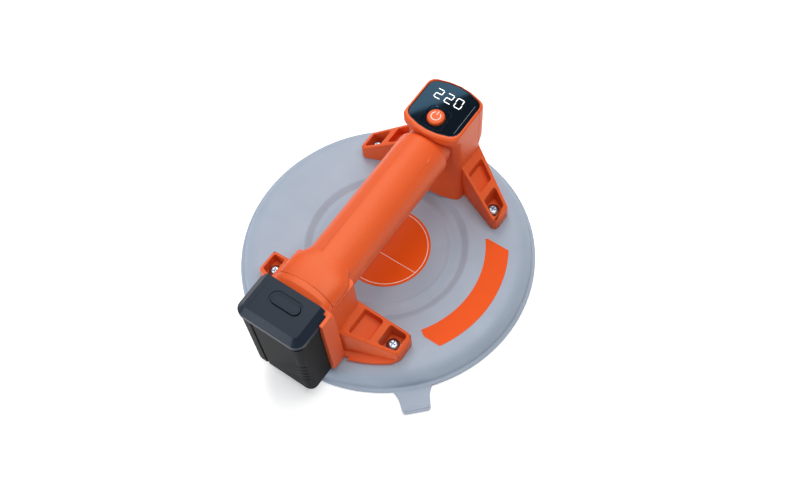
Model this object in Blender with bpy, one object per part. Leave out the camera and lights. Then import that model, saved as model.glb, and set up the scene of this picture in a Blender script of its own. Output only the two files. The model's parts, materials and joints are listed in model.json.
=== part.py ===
"""Battery-powered suction lifter: a rubber pad, two footed legs, a hollow grip, a display head and a battery.

Metres, +Z up. The origin lies on the pad's axis, in the plane that the sealing lip touches.
+X runs along the grip towards the display, and the battery hangs on its dock at -X.
"""

from math import cos, pi, radians, sin, sqrt

import bpy
import bmesh
from mathutils import Vector

# Clearances
GAP = 0.0003
RUNNING = 0.0004

# Pad
PAD_RADIUS = 0.1075
LIP_THICKNESS = 0.0029
LIP_WIDTH = 0.0029
LIP_LAND = 0.0050
LIP_REACH = 0.0015
FLAT_RADIUS = 0.0928
RECESS_RADIUS = 0.0598
RECESS_SLOPE = 0.0060
RECESS_DEPTH = 0.0031
CENTRE_RADIUS = 0.0455
CENTRE_STEP = 0.0008
SKIN_THICKNESS = 0.0049
INNER_LIP = 0.0030
PAD_SEGMENTS = 54
TAB_ANGLE = -135.4
TAB_WIDTH = 0.0190
TAB_LENGTH = 0.0160
TAB_THICKNESS = 0.0019
TAB_ROOT = 0.0050

# Plate and support face inside the pad
PLATE_RADIUS = 0.0880
PLATE_THICKNESS = 0.0050
SUPPORT_THICKNESS = 0.0025
SUPPORT_LAND = 0.0140
SUPPORT_GROOVES = 3
SUPPORT_GROOVE_DEPTH = 0.0010

# Vacuum inlet under the front leg
INLET_X = 0.0740
FILTER_RADIUS = 0.0085
FILTER_THICKNESS = 0.0011
SPIGOT_RADIUS = 0.0030
SPIGOT_BORE = 0.0015
MANIFOLD_LENGTH = 0.0170
MANIFOLD_WIDTH = 0.0240
MANIFOLD_HEIGHT = 0.0110
BARB_X = 0.0695
BARB_RADIUS = 0.0020
BARB_HEIGHT = 0.0055

# Legs and feet
SCREW_X = 0.0628
SCREW_Y = 0.0508
SCREW_RADIUS = 0.0025
HEAD_RADIUS = 0.0047
HEAD_HEIGHT = 0.0032
WASHER_RADIUS = 0.0052
WASHER_THICKNESS = 0.0010
FOOT_TIP_Y = 0.0600
FOOT_ROOT_Y = 0.0175
FOOT_SLOPE_START_Y = 0.0210
FOOT_ROOT_HEIGHT = 0.0325
FOOT_TIP_HEIGHT = 0.0112
FOOT_WALL = 0.0030
FOOT_TIP_ROUND = 0.0035
FOOT_INNER_WALL = 0.0022
FOOT_FLOOR = 0.0037
POCKET_NEAR_Y = 0.0270
POCKET_FAR_Y = 0.0405
SCREW_POCKET_NEAR_Y = 0.0448
POCKET_FLOOR = 0.0120
FRONT_FOOT_INNER = (0.0670, 0.0508)
FRONT_FOOT_OUTER = (0.0900, 0.0685)
REAR_FOOT_INNER = (0.0575, 0.0512)
REAR_FOOT_OUTER = (0.0845, 0.0692)
FLANGE_RADIUS = 0.0925
FLANGE_THICKNESS = 0.0035
HOUSING_WALL = 0.0026

# Grip
GRIP_AXIS_Z = 0.0690
GRIP_HALF_WIDTH = 0.0190
GRIP_HALF_HEIGHT = 0.0175
GRIP_WALL = 0.0025
GRIP_REAR = -0.0610
GRIP_FRONT = 0.0536
GRIP_ROUND = 0.0030
NECK_STEP = 0.0027
NECK_END = 0.0630
GRIP_SEGMENTS = 28
COVER_SCREW_RADIUS = 0.0013
COVER_SCREW_HEAD = 0.0026
COVER_SCREW_X = (-0.0500, 0.0400, 0.0400)
COVER_SCREW_Y = (0.0, 0.0095, -0.0095)
COVER_BOSS_WALL = 0.0019

# Display head
HEAD_TOP = 0.0900
HEAD_REAR = 0.0542
HEAD_FRONT = 0.1000
HEAD_HALF_WIDTH = 0.0223
HEAD_BULGE = 0.0050
HEAD_SKIRT = 0.0070
HEAD_CORNER = 0.0045
COVER_PLANE = 0.0880
COLUMN_FRONT = 0.0910
COLUMN_HEIGHTS = (0.0280, 0.0400, 0.0500, 0.0580)
COLUMN_FRONTS = (0.0915, 0.0925, 0.0952, 0.0994)
COLUMN_STEPS = (0.0038, 0.0051, 0.0053, 0.0050)
COLUMN_SPREAD = 0.0020
RIM_WIDTH = 0.0029
SIDE_RIM_EXTRA = 0.0006
WINDOW_THICKNESS = 0.0024
WINDOW_SINK = 0.0005
WINDOW_LEDGE = 0.0015
BUTTON_X = 0.0682
BUTTON_RADIUS = 0.0062
BUTTON_RISE = 0.0026
BUTTON_FLANGE = 0.0010
BUTTON_TRAVEL = 0.0008
BOARD_Z = 0.0760
BOARD_THICKNESS = 0.0016
BOARD_LEDGE = 0.0015
SWITCH_HEIGHT = 0.0047
DISPLAY_HALF_WIDTH = 0.0140

# Rear leg, saddle and dock
LEG_FRONT = -0.0583
LEG_REAR = -0.0860
LEG_HALF_WIDTH = 0.0226
LEG_TOP = 0.0777
SADDLE_HALF_WIDTH = 0.0220
SADDLE_CROWN = 0.0875
CROWN_REACH = 0.0050
SADDLE_BOW = 0.0025
SADDLE_WALL = 0.0025
DOCK_PLATE = 0.0037
DOCK_TOP = 0.0840
DOCK_CREST = 0.0016
DOCK_LOW = 0.0178
RAIL_THICKNESS = 0.0024
RAIL_TOP = 0.0862
RAIL_DEPTH = 0.0080
HOOK_REACH = 0.0030
HOOK_THICKNESS = 0.0021

# Battery
BATTERY_DEPTH = 0.0286
BATTERY_HALF_WIDTH = 0.0245
BATTERY_LOW = 0.0150
BATTERY_TOP = 0.0900
BATTERY_CORNER = 0.0055
CAP_HEIGHT = 0.0122
CAP_CHAMFER = 0.0050
CAP_WALL = 0.0025
CASE_WALL = 0.0025
CELL_RADIUS = 0.0092
CELL_LENGTH = 0.0650
TERMINAL_HALF_WIDTH = 0.0110
TERMINAL_TOP = 0.0380
TERMINAL_DEPTH = 0.0050
RELEASE_SETBACK = 0.0084
RELEASE_LENGTH = 0.0215
RELEASE_WIDTH = 0.0074
RELEASE_RISE = 0.0006
RELEASE_TRAVEL = 0.0016
LATCH_HALF_WIDTH = 0.0060
LATCH_THICKNESS = 0.0018
LATCH_REACH = 0.0012
LATCH_DROP = 0.0006
LATCH_SEAT_DEPTH = 0.0010

# Pump
MOTOR_RADIUS = 0.0120
MOTOR_LENGTH = 0.0310
MOTOR_REAR = -0.0420
CRANKCASE_RADIUS = 0.0126
CRANKCASE_LENGTH = 0.0105
DIAPHRAGM_THICKNESS = 0.0016
VALVE_HEAD_LENGTH = 0.0150
NOZZLE_LENGTH = 0.0070
SHAFT_RADIUS = 0.0010
ECCENTRIC_RADIUS = 0.0040
ECCENTRIC_OFFSET = 0.0012
MOUNT_WIDTH = 0.0080
TUBE_RADIUS = 0.0030
TUBE_BEND = 0.0095

# Heights and places that follow from the sizes above
PLATE_LOW = LIP_REACH + SUPPORT_THICKNESS + GAP
SKIN_LOW = PLATE_LOW + PLATE_THICKNESS + GAP
PAD_TOP = SKIN_LOW + SKIN_THICKNESS
SEAT = PAD_TOP + GAP
FOOT_ROOT_TOP = SEAT + FOOT_ROOT_HEIGHT
FOOT_TIP_TOP = SEAT + FOOT_TIP_HEIGHT
FLOOR_TOP = SEAT + FLANGE_THICKNESS
FOOT_SLOPE = (FOOT_ROOT_TOP - FOOT_TIP_TOP) / (FOOT_TIP_Y - FOOT_SLOPE_START_Y)
COVER_LOW = FOOT_ROOT_TOP + FOOT_SLOPE * (FOOT_SLOPE_START_Y - FOOT_ROOT_Y) + GAP
SPLIT_Z = GRIP_AXIS_Z - GRIP_HALF_HEIGHT / 2
WINDOW_TOP = HEAD_TOP - WINDOW_SINK
WINDOW_LOW = WINDOW_TOP - WINDOW_THICKNESS
CAVITY_HALF_WIDTH = HEAD_HALF_WIDTH - HOUSING_WALL
SADDLE_END = LEG_REAR + CROWN_REACH
DOCK_REAR = LEG_REAR - GAP - DOCK_PLATE
BATTERY_FRONT = DOCK_REAR - RUNNING
BATTERY_REAR = BATTERY_FRONT - BATTERY_DEPTH
RELEASE_X = BATTERY_FRONT - RELEASE_SETBACK
CAP_LOW = BATTERY_TOP - CAP_HEIGHT
RAIL_INNER_Y = BATTERY_HALF_WIDTH + RUNNING
RAIL_OUTER_Y = RAIL_INNER_Y + RAIL_THICKNESS
RAIL_REAR = DOCK_REAR - RAIL_DEPTH
HOOK_INNER_Y = RAIL_INNER_Y - HOOK_REACH
MOTOR_FRONT = MOTOR_REAR + MOTOR_LENGTH
CRANKCASE_REAR = MOTOR_FRONT + GAP
CRANKCASE_FRONT = CRANKCASE_REAR + CRANKCASE_LENGTH
DIAPHRAGM_REAR = CRANKCASE_FRONT + GAP
VALVE_HEAD_REAR = DIAPHRAGM_REAR + DIAPHRAGM_THICKNESS + GAP
VALVE_HEAD_FRONT = VALVE_HEAD_REAR + VALVE_HEAD_LENGTH

MATERIALS = {}


def clear_scene():
    """Take away whatever the scene holds."""
    for old in list(bpy.data.objects):
        bpy.data.objects.remove(old, do_unlink=True)


def material(name, colour, roughness, metallic=0.0):
    """One Principled material per name."""
    if name not in MATERIALS:
        made = bpy.data.materials.new(name)
        made.use_nodes = True
        shader = made.node_tree.nodes["Principled BSDF"]
        shader.inputs["Base Color"].default_value = (*colour, 1.0)
        shader.inputs["Roughness"].default_value = roughness
        shader.inputs["Metallic"].default_value = metallic
        MATERIALS[name] = made
    return MATERIALS[name]


def orange_abs():
    return material("orange_abs", (0.84, 0.10, 0.02), 0.42)


def grey_rubber():
    return material("grey_rubber", (0.31, 0.36, 0.42), 0.55)


def dark_rubber():
    return material("dark_rubber", (0.03, 0.03, 0.035), 0.8)


def black_plastic():
    return material("black_plastic", (0.018, 0.018, 0.02), 0.5)


def navy_plastic():
    return material("navy_plastic", (0.030, 0.040, 0.065), 0.45)


def glossy_panel():
    return material("glossy_panel", (0.006, 0.008, 0.012), 0.08)


def circuit_board():
    return material("circuit_board", (0.01, 0.09, 0.04), 0.5)


def zinc_steel():
    return material("zinc_steel", (0.72, 0.74, 0.77), 0.25, 1.0)


def aluminium():
    return material("aluminium", (0.70, 0.71, 0.73), 0.35, 1.0)


def copper_alloy():
    return material("copper_alloy", (0.75, 0.50, 0.25), 0.3, 1.0)


def cell_wrap():
    return material("cell_wrap", (0.05, 0.22, 0.42), 0.4)


def white_silicone():
    return material("white_silicone", (0.75, 0.76, 0.76), 0.5)


def mesh_object(name, points, faces, look, smooth=35):
    """A mesh object with its faces turned outwards and its round faces shaded smooth."""
    mesh = bpy.data.meshes.new(name)
    mesh.from_pydata([tuple(point) for point in points], [], faces)
    shape = bmesh.new()
    shape.from_mesh(mesh)
    bmesh.ops.recalc_face_normals(shape, faces=shape.faces)
    shape.to_mesh(mesh)
    shape.free()
    if look is not None:
        mesh.materials.append(look)
    mesh.shade_smooth()
    mesh.set_sharp_from_angle(angle=radians(smooth))
    made = bpy.data.objects.new(name, mesh)
    bpy.context.scene.collection.objects.link(made)
    return made


def loft(name, rings, look):
    """A closed solid through rings of equally many points, capped at both ends."""
    count = len(rings[0])
    points = [point for ring in rings for point in ring]
    faces = [list(range(count))[::-1]]
    for low in range(len(rings) - 1):
        for i in range(count):
            j = (i + 1) % count
            faces.append([low * count + i, low * count + j, (low + 1) * count + j, (low + 1) * count + i])
    faces.append([(len(rings) - 1) * count + i for i in range(count)])
    return mesh_object(name, points, faces, look)


def prism(name, outline, low, high, look=None):
    """An upright prism over an outline. Low and high are heights, or functions of x and y."""
    def height(level, x, y):
        return level(x, y) if callable(level) else level
    bottom = [(x, y, height(low, x, y)) for x, y in outline]
    top = [(x, y, height(high, x, y)) for x, y in outline]
    return loft(name, [bottom, top], look)


def box(name, low, high, look=None):
    """A box between two opposite corners."""
    outline = [(low[0], low[1]), (high[0], low[1]), (high[0], high[1]), (low[0], high[1])]
    return prism(name, outline, low[2], high[2], look)


def circle(radius, count, centre=(0.0, 0.0)):
    """Points of a circle."""
    steps = [2 * pi * i / count for i in range(count)]
    return [(centre[0] + radius * cos(step), centre[1] + radius * sin(step)) for step in steps]


def upright_cylinder(name, centre, radius, low, high, look=None, count=16):
    """A cylinder along Z."""
    return prism(name, circle(radius, count, centre), low, high, look)


def turned(name, profile, look, place=(0.0, 0.0, 0.0), along="Z", count=24):
    """A solid of revolution from a closed profile of radius and height, with its axis on Z or X."""
    points = []
    rings = []
    for radius, height in profile:
        if radius == 0.0:
            rings.append([len(points)] * count)
            points.append((0.0, 0.0, height))
        else:
            rings.append([len(points) + i for i in range(count)])
            points.extend((x, y, height) for x, y in circle(radius, count))
    faces = []
    for k, ring in enumerate(rings):
        after = rings[(k + 1) % len(rings)]
        for i in range(count):
            j = (i + 1) % count
            corners = [ring[i], ring[j], after[j], after[i]]
            face = [corner for n, corner in enumerate(corners) if corner not in corners[:n]]
            if len(face) > 2:
                faces.append(face)
    if along == "X":
        points = [(z, y, -x) for x, y, z in points]
    points = [Vector(point) + Vector(place) for point in points]
    return mesh_object(name, points, faces, look)


def cylinder_profile(radius, low, high, bore=0.0):
    """The profile of a plain or a bored cylinder."""
    return [(bore, low), (radius, low), (radius, high), (bore, high)]


def rounded(corners, steps=3):
    """An outline whose corners (x, y, radius) are rounded by true arcs."""
    outline = []
    for i, (x, y, radius) in enumerate(corners):
        here = Vector((x, y))
        if radius == 0.0:
            outline.append((x, y))
            continue
        back = (Vector(corners[i - 1][:2]) - here).normalized()
        ahead = (Vector(corners[(i + 1) % len(corners)][:2]) - here).normalized()
        half = back.angle(ahead) / 2
        reach = radius * cos(half) / sin(half)
        centre = here + (back + ahead).normalized() * (radius / sin(half))
        start = here + back * reach - centre
        end = here + ahead * reach - centre
        sweep = start.angle(end)
        for k in range(steps + 1):
            first = sin(sweep * (1 - k / steps)) / sin(sweep)
            last = sin(sweep * k / steps) / sin(sweep)
            outline.append(tuple(centre + start * first + end * last))
    return outline


def rounded_box_outline(x_low, x_high, half_width, radius, steps=3):
    """A rectangle about the X axis with round corners."""
    corners = [(x_low, -half_width), (x_high, -half_width), (x_high, half_width), (x_low, half_width)]
    return rounded([(x, y, radius) for x, y in corners], steps)


def barrel(rear, front, half_width, corner=HEAD_CORNER, bulge=HEAD_BULGE, steps=4):
    """The head's plan outline: straight sides, bowed ends and round corners."""
    def bowed(y):
        return bulge * (y / half_width) ** 2
    reach = half_width - corner
    across = [reach * (2 * i / steps - 1) for i in range(steps + 1)]
    start = (bowed(reach), reach)
    knee = (bowed(half_width), half_width)
    end = (bowed(half_width) + corner, half_width)
    turn = []
    for t in (1 / 3, 2 / 3, 1):
        weights = ((1 - t) ** 2, 2 * t * (1 - t), t ** 2)
        turn.append(tuple(sum(w * p[n] for w, p in zip(weights, (start, knee, end))) for n in (0, 1)))
    half = [(x, -y) for x, y in reversed(turn)] + [(bowed(y), y) for y in across] + turn
    return [(front - x, y) for x, y in half] + [(rear + x, -y) for x, y in half]


def modify(target, tool, operation):
    """Join, cut or keep the target with a tool that is itself left out of the part."""
    step = target.modifiers.new(tool.name, "BOOLEAN")
    step.operation = operation
    step.solver = "EXACT"
    step.object = tool
    tool.hide_render = True
    tool.display_type = "WIRE"


def join(target, *tools):
    for tool in tools:
        modify(target, tool, "UNION")


def cut(target, *tools):
    for tool in tools:
        modify(target, tool, "DIFFERENCE")


def keep(target, tool):
    modify(target, tool, "INTERSECT")


def screw_places():
    """The four foot screws, with a name for each corner."""
    for end, x_side in (("front", 1), ("rear", -1)):
        for hand, y_side in (("left", 1), ("right", -1)):
            yield f"{end}_{hand}", x_side * SCREW_X, y_side * SCREW_Y


def pad_profile():
    """The pad's section: dished top, round shoulder, thin lip, sealing land, inner lip and plate pocket."""
    floor = PAD_TOP - RECESS_DEPTH
    centre = floor + CENTRE_STEP
    ridge = 0.0012
    profile = [(0.0, centre), (CENTRE_RADIUS, centre)]
    profile.append((CENTRE_RADIUS + ridge, centre + ridge / 2))
    profile.append((CENTRE_RADIUS + 2 * ridge, centre))
    profile.append((CENTRE_RADIUS + 4 * ridge, floor))
    profile.append((RECESS_RADIUS - RECESS_SLOPE, floor))
    profile.append((RECESS_RADIUS - RECESS_SLOPE / 2, floor + RECESS_DEPTH * 0.42))
    profile.append((RECESS_RADIUS - RECESS_SLOPE / 5, floor + RECESS_DEPTH * 0.86))
    profile.append((RECESS_RADIUS, PAD_TOP))
    lip_root = PAD_RADIUS - LIP_WIDTH
    for k in range(7):
        turn = k * pi / 12
        reach = FLAT_RADIUS + (lip_root - FLAT_RADIUS) * sin(turn)
        profile.append((reach, LIP_THICKNESS + (PAD_TOP - LIP_THICKNESS) * cos(turn)))
    edge = LIP_THICKNESS / 4
    profile.append((PAD_RADIUS - edge, LIP_THICKNESS))
    profile.append((PAD_RADIUS, LIP_THICKNESS - edge))
    profile.append((PAD_RADIUS, edge))
    profile.append((PAD_RADIUS - edge, 0.0))
    land_inner = PAD_RADIUS - edge - LIP_LAND
    profile.append((land_inner, 0.0))
    profile.append((land_inner - edge, edge))
    groove_outer = land_inner - 2 * edge
    groove_inner = PLATE_RADIUS + GAP + INNER_LIP + 2 * edge
    profile.append((groove_outer, LIP_THICKNESS))
    profile.append((groove_inner, LIP_THICKNESS))
    profile.append((groove_inner - edge, edge))
    profile.append((PLATE_RADIUS + GAP, edge))
    profile.append((PLATE_RADIUS + GAP, SKIN_LOW))
    profile.append((0.0, SKIN_LOW))
    return profile


def make_tab(name):
    """The pull tab: it leaves the lip with wide roots, and its end is bent up level."""
    half = TAB_WIDTH / 2
    start = PAD_RADIUS - LIP_WIDTH
    root = PAD_RADIUS + TAB_ROOT
    tip = PAD_RADIUS + TAB_LENGTH
    wide = half + TAB_ROOT
    corner = TAB_ROOT / 3
    corners = [(start, -wide, 0), (PAD_RADIUS - LIP_WIDTH / 2, -wide, 0), (root, -half, 0)]
    corners += [(tip, -half, corner), (tip, half, corner)]
    corners += [(root, half, 0), (PAD_RADIUS - LIP_WIDTH / 2, wide, 0), (start, wide, 0)]
    low = (LIP_THICKNESS - TAB_THICKNESS) / 2
    tab = prism(name, rounded(corners), low, low + TAB_THICKNESS)
    ridge_x = PAD_RADIUS + TAB_LENGTH * 0.78
    ridge = box(name + "_ridge", (ridge_x, -half * 0.92, low + TAB_THICKNESS / 2),
                (tip - corner, half * 0.92, low + TAB_THICKNESS + LIP_THICKNESS / 5))
    for piece in (tab, ridge):
        piece.rotation_euler = (0, 0, radians(TAB_ANGLE))
    return tab, ridge


def build_pad():
    """The rubber pad, its stiff plate, the support face and the filtered inlet."""
    pad = turned("suction_pad", pad_profile(), grey_rubber(), count=PAD_SEGMENTS)
    join(pad, *make_tab("tab_shape"))
    plate_top = PLATE_LOW + PLATE_THICKNESS
    profile = cylinder_profile(PLATE_RADIUS, PLATE_LOW, plate_top)
    plate = turned("backing_plate", profile, aluminium(), count=40)
    hole = SCREW_RADIUS + GAP
    for place, x, y in screw_places():
        cut(pad, upright_cylinder(f"pad_hole_{place}", (x, y), hole, SKIN_LOW - 0.001, SEAT + 0.001, count=12))
        cut(plate, upright_cylinder(f"plate_hole_{place}", (x, y), hole, PLATE_LOW - 0.001, SEAT, count=12))
    inlet = (INLET_X, 0.0)
    cut(pad, upright_cylinder("pad_inlet", inlet, SPIGOT_RADIUS + GAP, SKIN_LOW - 0.001, SEAT + 0.001))
    cut(plate, upright_cylinder("plate_inlet", inlet, SPIGOT_RADIUS + GAP, PLATE_LOW - 0.001, SEAT))
    build_support_face()
    filter_low = LIP_REACH + SUPPORT_THICKNESS - FILTER_THICKNESS
    upright_cylinder("inlet_filter", (INLET_X, 0.0), FILTER_RADIUS, filter_low, filter_low + FILTER_THICKNESS,
                     white_silicone(), count=20)
    cap = upright_cylinder("filter_cap", (INLET_X, 0.0), FILTER_RADIUS, LIP_REACH, filter_low - GAP,
                           black_plastic(), count=20)
    for k in range(6):
        turn = k * pi / 3
        place = (INLET_X + FILTER_RADIUS * 0.55 * cos(turn), FILTER_RADIUS * 0.55 * sin(turn))
        cut(cap, upright_cylinder(f"cap_hole_{k}", place, 0.0011, 0.0, filter_low, count=6))


def build_support_face():
    """The soft face that the load presses on, with ring grooves so that the vacuum spreads."""
    low = LIP_REACH
    top = LIP_REACH + SUPPORT_THICKNESS
    spacing = (PLATE_RADIUS - SUPPORT_LAND) / (SUPPORT_GROOVES + 0.5)
    profile = [(0.0, top), (PLATE_RADIUS, top), (PLATE_RADIUS, low)]
    for k in reversed(range(SUPPORT_GROOVES)):
        outer = SUPPORT_LAND + (k + 0.75) * spacing
        inner = SUPPORT_LAND + (k + 0.25) * spacing
        profile += [(outer, low), (outer - SUPPORT_GROOVE_DEPTH, low + SUPPORT_GROOVE_DEPTH)]
        profile += [(inner + SUPPORT_GROOVE_DEPTH, low + SUPPORT_GROOVE_DEPTH), (inner, low)]
    profile.append((0.0, low))
    face = turned("support_face", profile, dark_rubber(), count=36)
    well = upright_cylinder("filter_well", (INLET_X, 0.0), FILTER_RADIUS + GAP, 0.0, PLATE_LOW, count=24)
    cut(face, well)
    channel = SUPPORT_GROOVE_DEPTH * 1.6
    cut(face, box("vacuum_channel", (SUPPORT_LAND + spacing / 4, -channel, 0.0),
                  (INLET_X, channel, low + SUPPORT_GROOVE_DEPTH)))


def foot_edge(ends, y, inset=0.0):
    """How far from the middle a foot's edge lies at a distance y from the grip's plane."""
    share = (abs(y) - FOOT_SLOPE_START_Y) / (FOOT_TIP_Y - FOOT_SLOPE_START_Y)
    return ends[0] + (ends[1] - ends[0]) * share + inset


def foot_outline(inner, outer, near, far, walled, corner):
    """Four corners between two distances from the grip's plane, on the foot's edge or inside its walls."""
    thin = FOOT_INNER_WALL if walled else 0.0
    thick = -FOOT_WALL if walled else 0.0
    corners = [(foot_edge(inner, near, thin), near), (foot_edge(outer, near, thick), near)]
    corners += [(foot_edge(outer, far, thick), far), (foot_edge(inner, far, thin), far)]
    return [(x, y, corner) for x, y in corners]


def foot_top(x, y):
    """The sloping top of a foot."""
    return FOOT_ROOT_TOP - FOOT_SLOPE * (abs(y) - FOOT_SLOPE_START_Y)


def facing(outline, x_side, y_side):
    """An outline drawn for +X and +Y, mirrored to its own corner of the part."""
    return [(x_side * x, y_side * y) for x, y in outline]


def add_feet(leg, name, x_side, inner, outer):
    """Two wedge feet, each with a blind pocket, a screw pocket and a screw hole."""
    solids = []
    cutters = []
    for hand, y_side in (("left", 1), ("right", -1)):
        tag = f"{name}_{hand}"
        shape = foot_outline(inner, outer, FOOT_ROOT_Y, FOOT_TIP_Y, False, 0.0)
        shape = [(x, y, FOOT_TIP_ROUND if y > FOOT_ROOT_Y else 0.0) for x, y, _ in shape]
        solids.append(prism(f"{tag}_foot", facing(rounded(shape), x_side, y_side), SEAT, foot_top))
        far = FOOT_TIP_Y - FOOT_WALL
        blind = rounded(foot_outline(inner, outer, POCKET_NEAR_Y, POCKET_FAR_Y, True, 0.0015), 2)
        screwed = rounded(foot_outline(inner, outer, SCREW_POCKET_NEAR_Y, far, True, 0.0015), 2)
        above = FOOT_ROOT_TOP + 0.005
        cutters.append(prism(f"{tag}_pocket", facing(blind, x_side, y_side), SEAT + POCKET_FLOOR, above))
        cutters.append(prism(f"{tag}_screw_pocket", facing(screwed, x_side, y_side), SEAT + FOOT_FLOOR, above))
        centre = (x_side * SCREW_X, y_side * SCREW_Y)
        cutters.append(upright_cylinder(f"{tag}_screw_hole", centre, SCREW_RADIUS + GAP, SEAT - 0.001,
                                        SEAT + FOOT_FLOOR + 0.001, count=12))
    join(leg, *solids)
    return cutters


def flange_outline(x_side, chord):
    """The base flange: the part of a disc beyond a chord."""
    reach = sqrt(FLANGE_RADIUS ** 2 - chord ** 2)
    count = 18
    outline = []
    for k in range(count + 1):
        y = reach * sin(pi * (k / count - 0.5))
        outline.append((x_side * sqrt(FLANGE_RADIUS ** 2 - y ** 2), y))
    return outline


def grip_ring(x, half_width, half_height):
    """A ring of the grip, upright across X."""
    steps = [2 * pi * (i + 0.5) / GRIP_SEGMENTS for i in range(GRIP_SEGMENTS)]
    return [(x, half_width * cos(step), GRIP_AXIS_Z + half_height * sin(step)) for step in steps]


def grip_shape(name, inset, sections):
    """A loft along the grip. Each section gives its place and how far it lies inside the grip's surface."""
    rings = []
    for x, step in sections:
        rings.append(grip_ring(x, GRIP_HALF_WIDTH - inset - step, GRIP_HALF_HEIGHT - inset - step))
    return loft(name, rings, None)


def grip_outer(name):
    """The grip's outside: a plain barrel, a rounded front edge and a neck that enters the front leg."""
    front = GRIP_FRONT
    sections = [(GRIP_REAR, 0.0), (front - GRIP_ROUND, 0.0), (front - GRIP_ROUND / 2, 0.0004)]
    sections += [(front - GRIP_ROUND / 8, 0.0011), (front, 0.0018), (front + 0.0001, NECK_STEP)]
    sections.append((NECK_END, NECK_STEP))
    return grip_shape(name, 0.0, sections)


def grip_bore(name):
    """The grip's inside, narrower in the neck."""
    start = GRIP_FRONT - 2 * GRIP_ROUND
    sections = [(GRIP_REAR - 0.002, 0.0), (start - 0.002, 0.0), (start, NECK_STEP - 0.0005)]
    sections.append((NECK_END + 0.002, NECK_STEP - 0.0005))
    return grip_shape(name, GRIP_WALL, sections)


def arch(x, half_width, crown, wall, bow=0.0, solid=False):
    """A thick arch over the saddle, standing on the rear leg's top. Its end may bow in plan."""
    base = LEG_TOP + GAP
    outline = []
    count = 14
    for inset in ((0.0,) if solid else (0.0, wall)):
        curve = []
        for i in range(count + 1):
            turn = pi * i / count
            y = (half_width - inset) * (1 if cos(turn) > 0 else -1) * abs(cos(turn)) ** 0.8
            z = base + (crown - base - inset) * sin(turn) ** 0.8
            curve.append((x + bow * (1 - (y / SADDLE_HALF_WIDTH) ** 2), y, z))
        outline += curve if inset == 0.0 else curve[::-1]
    return outline


def saddle(name):
    """The roof that flares out of the grip and covers the rear leg."""
    grip_top = GRIP_AXIS_Z + GRIP_HALF_HEIGHT
    flare = ((0.0065, 0.0160, -0.0004), (0.0035, 0.0172, 0.0), (0.0010, 0.0190, 0.0003),
             (-0.0010, 0.0204, 0.0006), (-0.0030, 0.0214, 0.0008), (-0.0060, SADDLE_HALF_WIDTH, 0.0010))
    rings = [arch(GRIP_REAR + dx, width, grip_top + rise, SADDLE_WALL) for dx, width, rise in flare]
    rings.append(arch(SADDLE_END, SADDLE_HALF_WIDTH, SADDLE_CROWN, SADDLE_WALL, SADDLE_BOW))
    return loft(name, rings, None)


def split_box(name, above):
    """Everything above or below the plane that parts the grip."""
    reach = 0.2
    if above:
        return box(name, (-reach, -reach, SPLIT_Z), (reach, reach, reach))
    return box(name, (-reach, -reach, -reach), (reach, reach, SPLIT_Z - GAP))


def build_grip():
    """The upper shell with its saddle, the lower cover, and the screws that join them."""
    shell = grip_outer("handle_shell")
    shell.data.materials.append(orange_abs())
    lower = grip_outer("grip_cover")
    lower.data.materials.append(orange_abs())
    bore = grip_bore("grip_bore")
    cut(shell, bore)
    cut(lower, bore)
    keep(shell, split_box("above_split", True))
    keep(lower, split_box("below_split", False))
    join(shell, saddle("saddle_shape"))
    grip_top = GRIP_AXIS_Z + GRIP_HALF_HEIGHT
    grip_low = GRIP_AXIS_Z - GRIP_HALF_HEIGHT
    hole = COVER_SCREW_RADIUS + GAP
    for k, (x, y) in enumerate(zip(COVER_SCREW_X, COVER_SCREW_Y)):
        across = sqrt(1 - (y / GRIP_HALF_WIDTH) ** 2)
        ceiling = GRIP_AXIS_Z + (GRIP_HALF_HEIGHT - GRIP_WALL / 2) * across - 0.0006
        floor = GRIP_AXIS_Z - (GRIP_HALF_HEIGHT - GRIP_WALL / 2) * across + 0.0006
        bore_top = SPLIT_Z + 0.008
        join(shell, upright_cylinder(f"shell_boss_{k}", (x, y), hole + COVER_BOSS_WALL, SPLIT_Z, ceiling,
                                     count=12))
        cut(shell, upright_cylinder(f"shell_boss_hole_{k}", (x, y), hole, SPLIT_Z - 0.001, bore_top, count=10))
        boss = COVER_SCREW_HEAD + GAP + COVER_BOSS_WALL
        join(lower, upright_cylinder(f"cover_boss_{k}", (x, y), boss, floor, SPLIT_Z - GAP, count=12))
        seat = floor + 0.0030
        cut(lower, upright_cylinder(f"cover_sink_{k}", (x, y), COVER_SCREW_HEAD + GAP, grip_low - 0.01, seat,
                                    count=12))
        cut(lower, upright_cylinder(f"cover_hole_{k}", (x, y), hole, seat - 0.001, SPLIT_Z + 0.001, count=10))
        head = seat - GAP
        profile = [(0.0, bore_top - GAP), (COVER_SCREW_RADIUS, bore_top - GAP), (COVER_SCREW_RADIUS, head)]
        profile += [(COVER_SCREW_HEAD, head), (COVER_SCREW_HEAD, head - 0.0016), (0.0, head - 0.0016)]
        turned(f"cover_screw_{k + 1}", profile, zinc_steel(), place=(x, y, 0), count=10)


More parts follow.
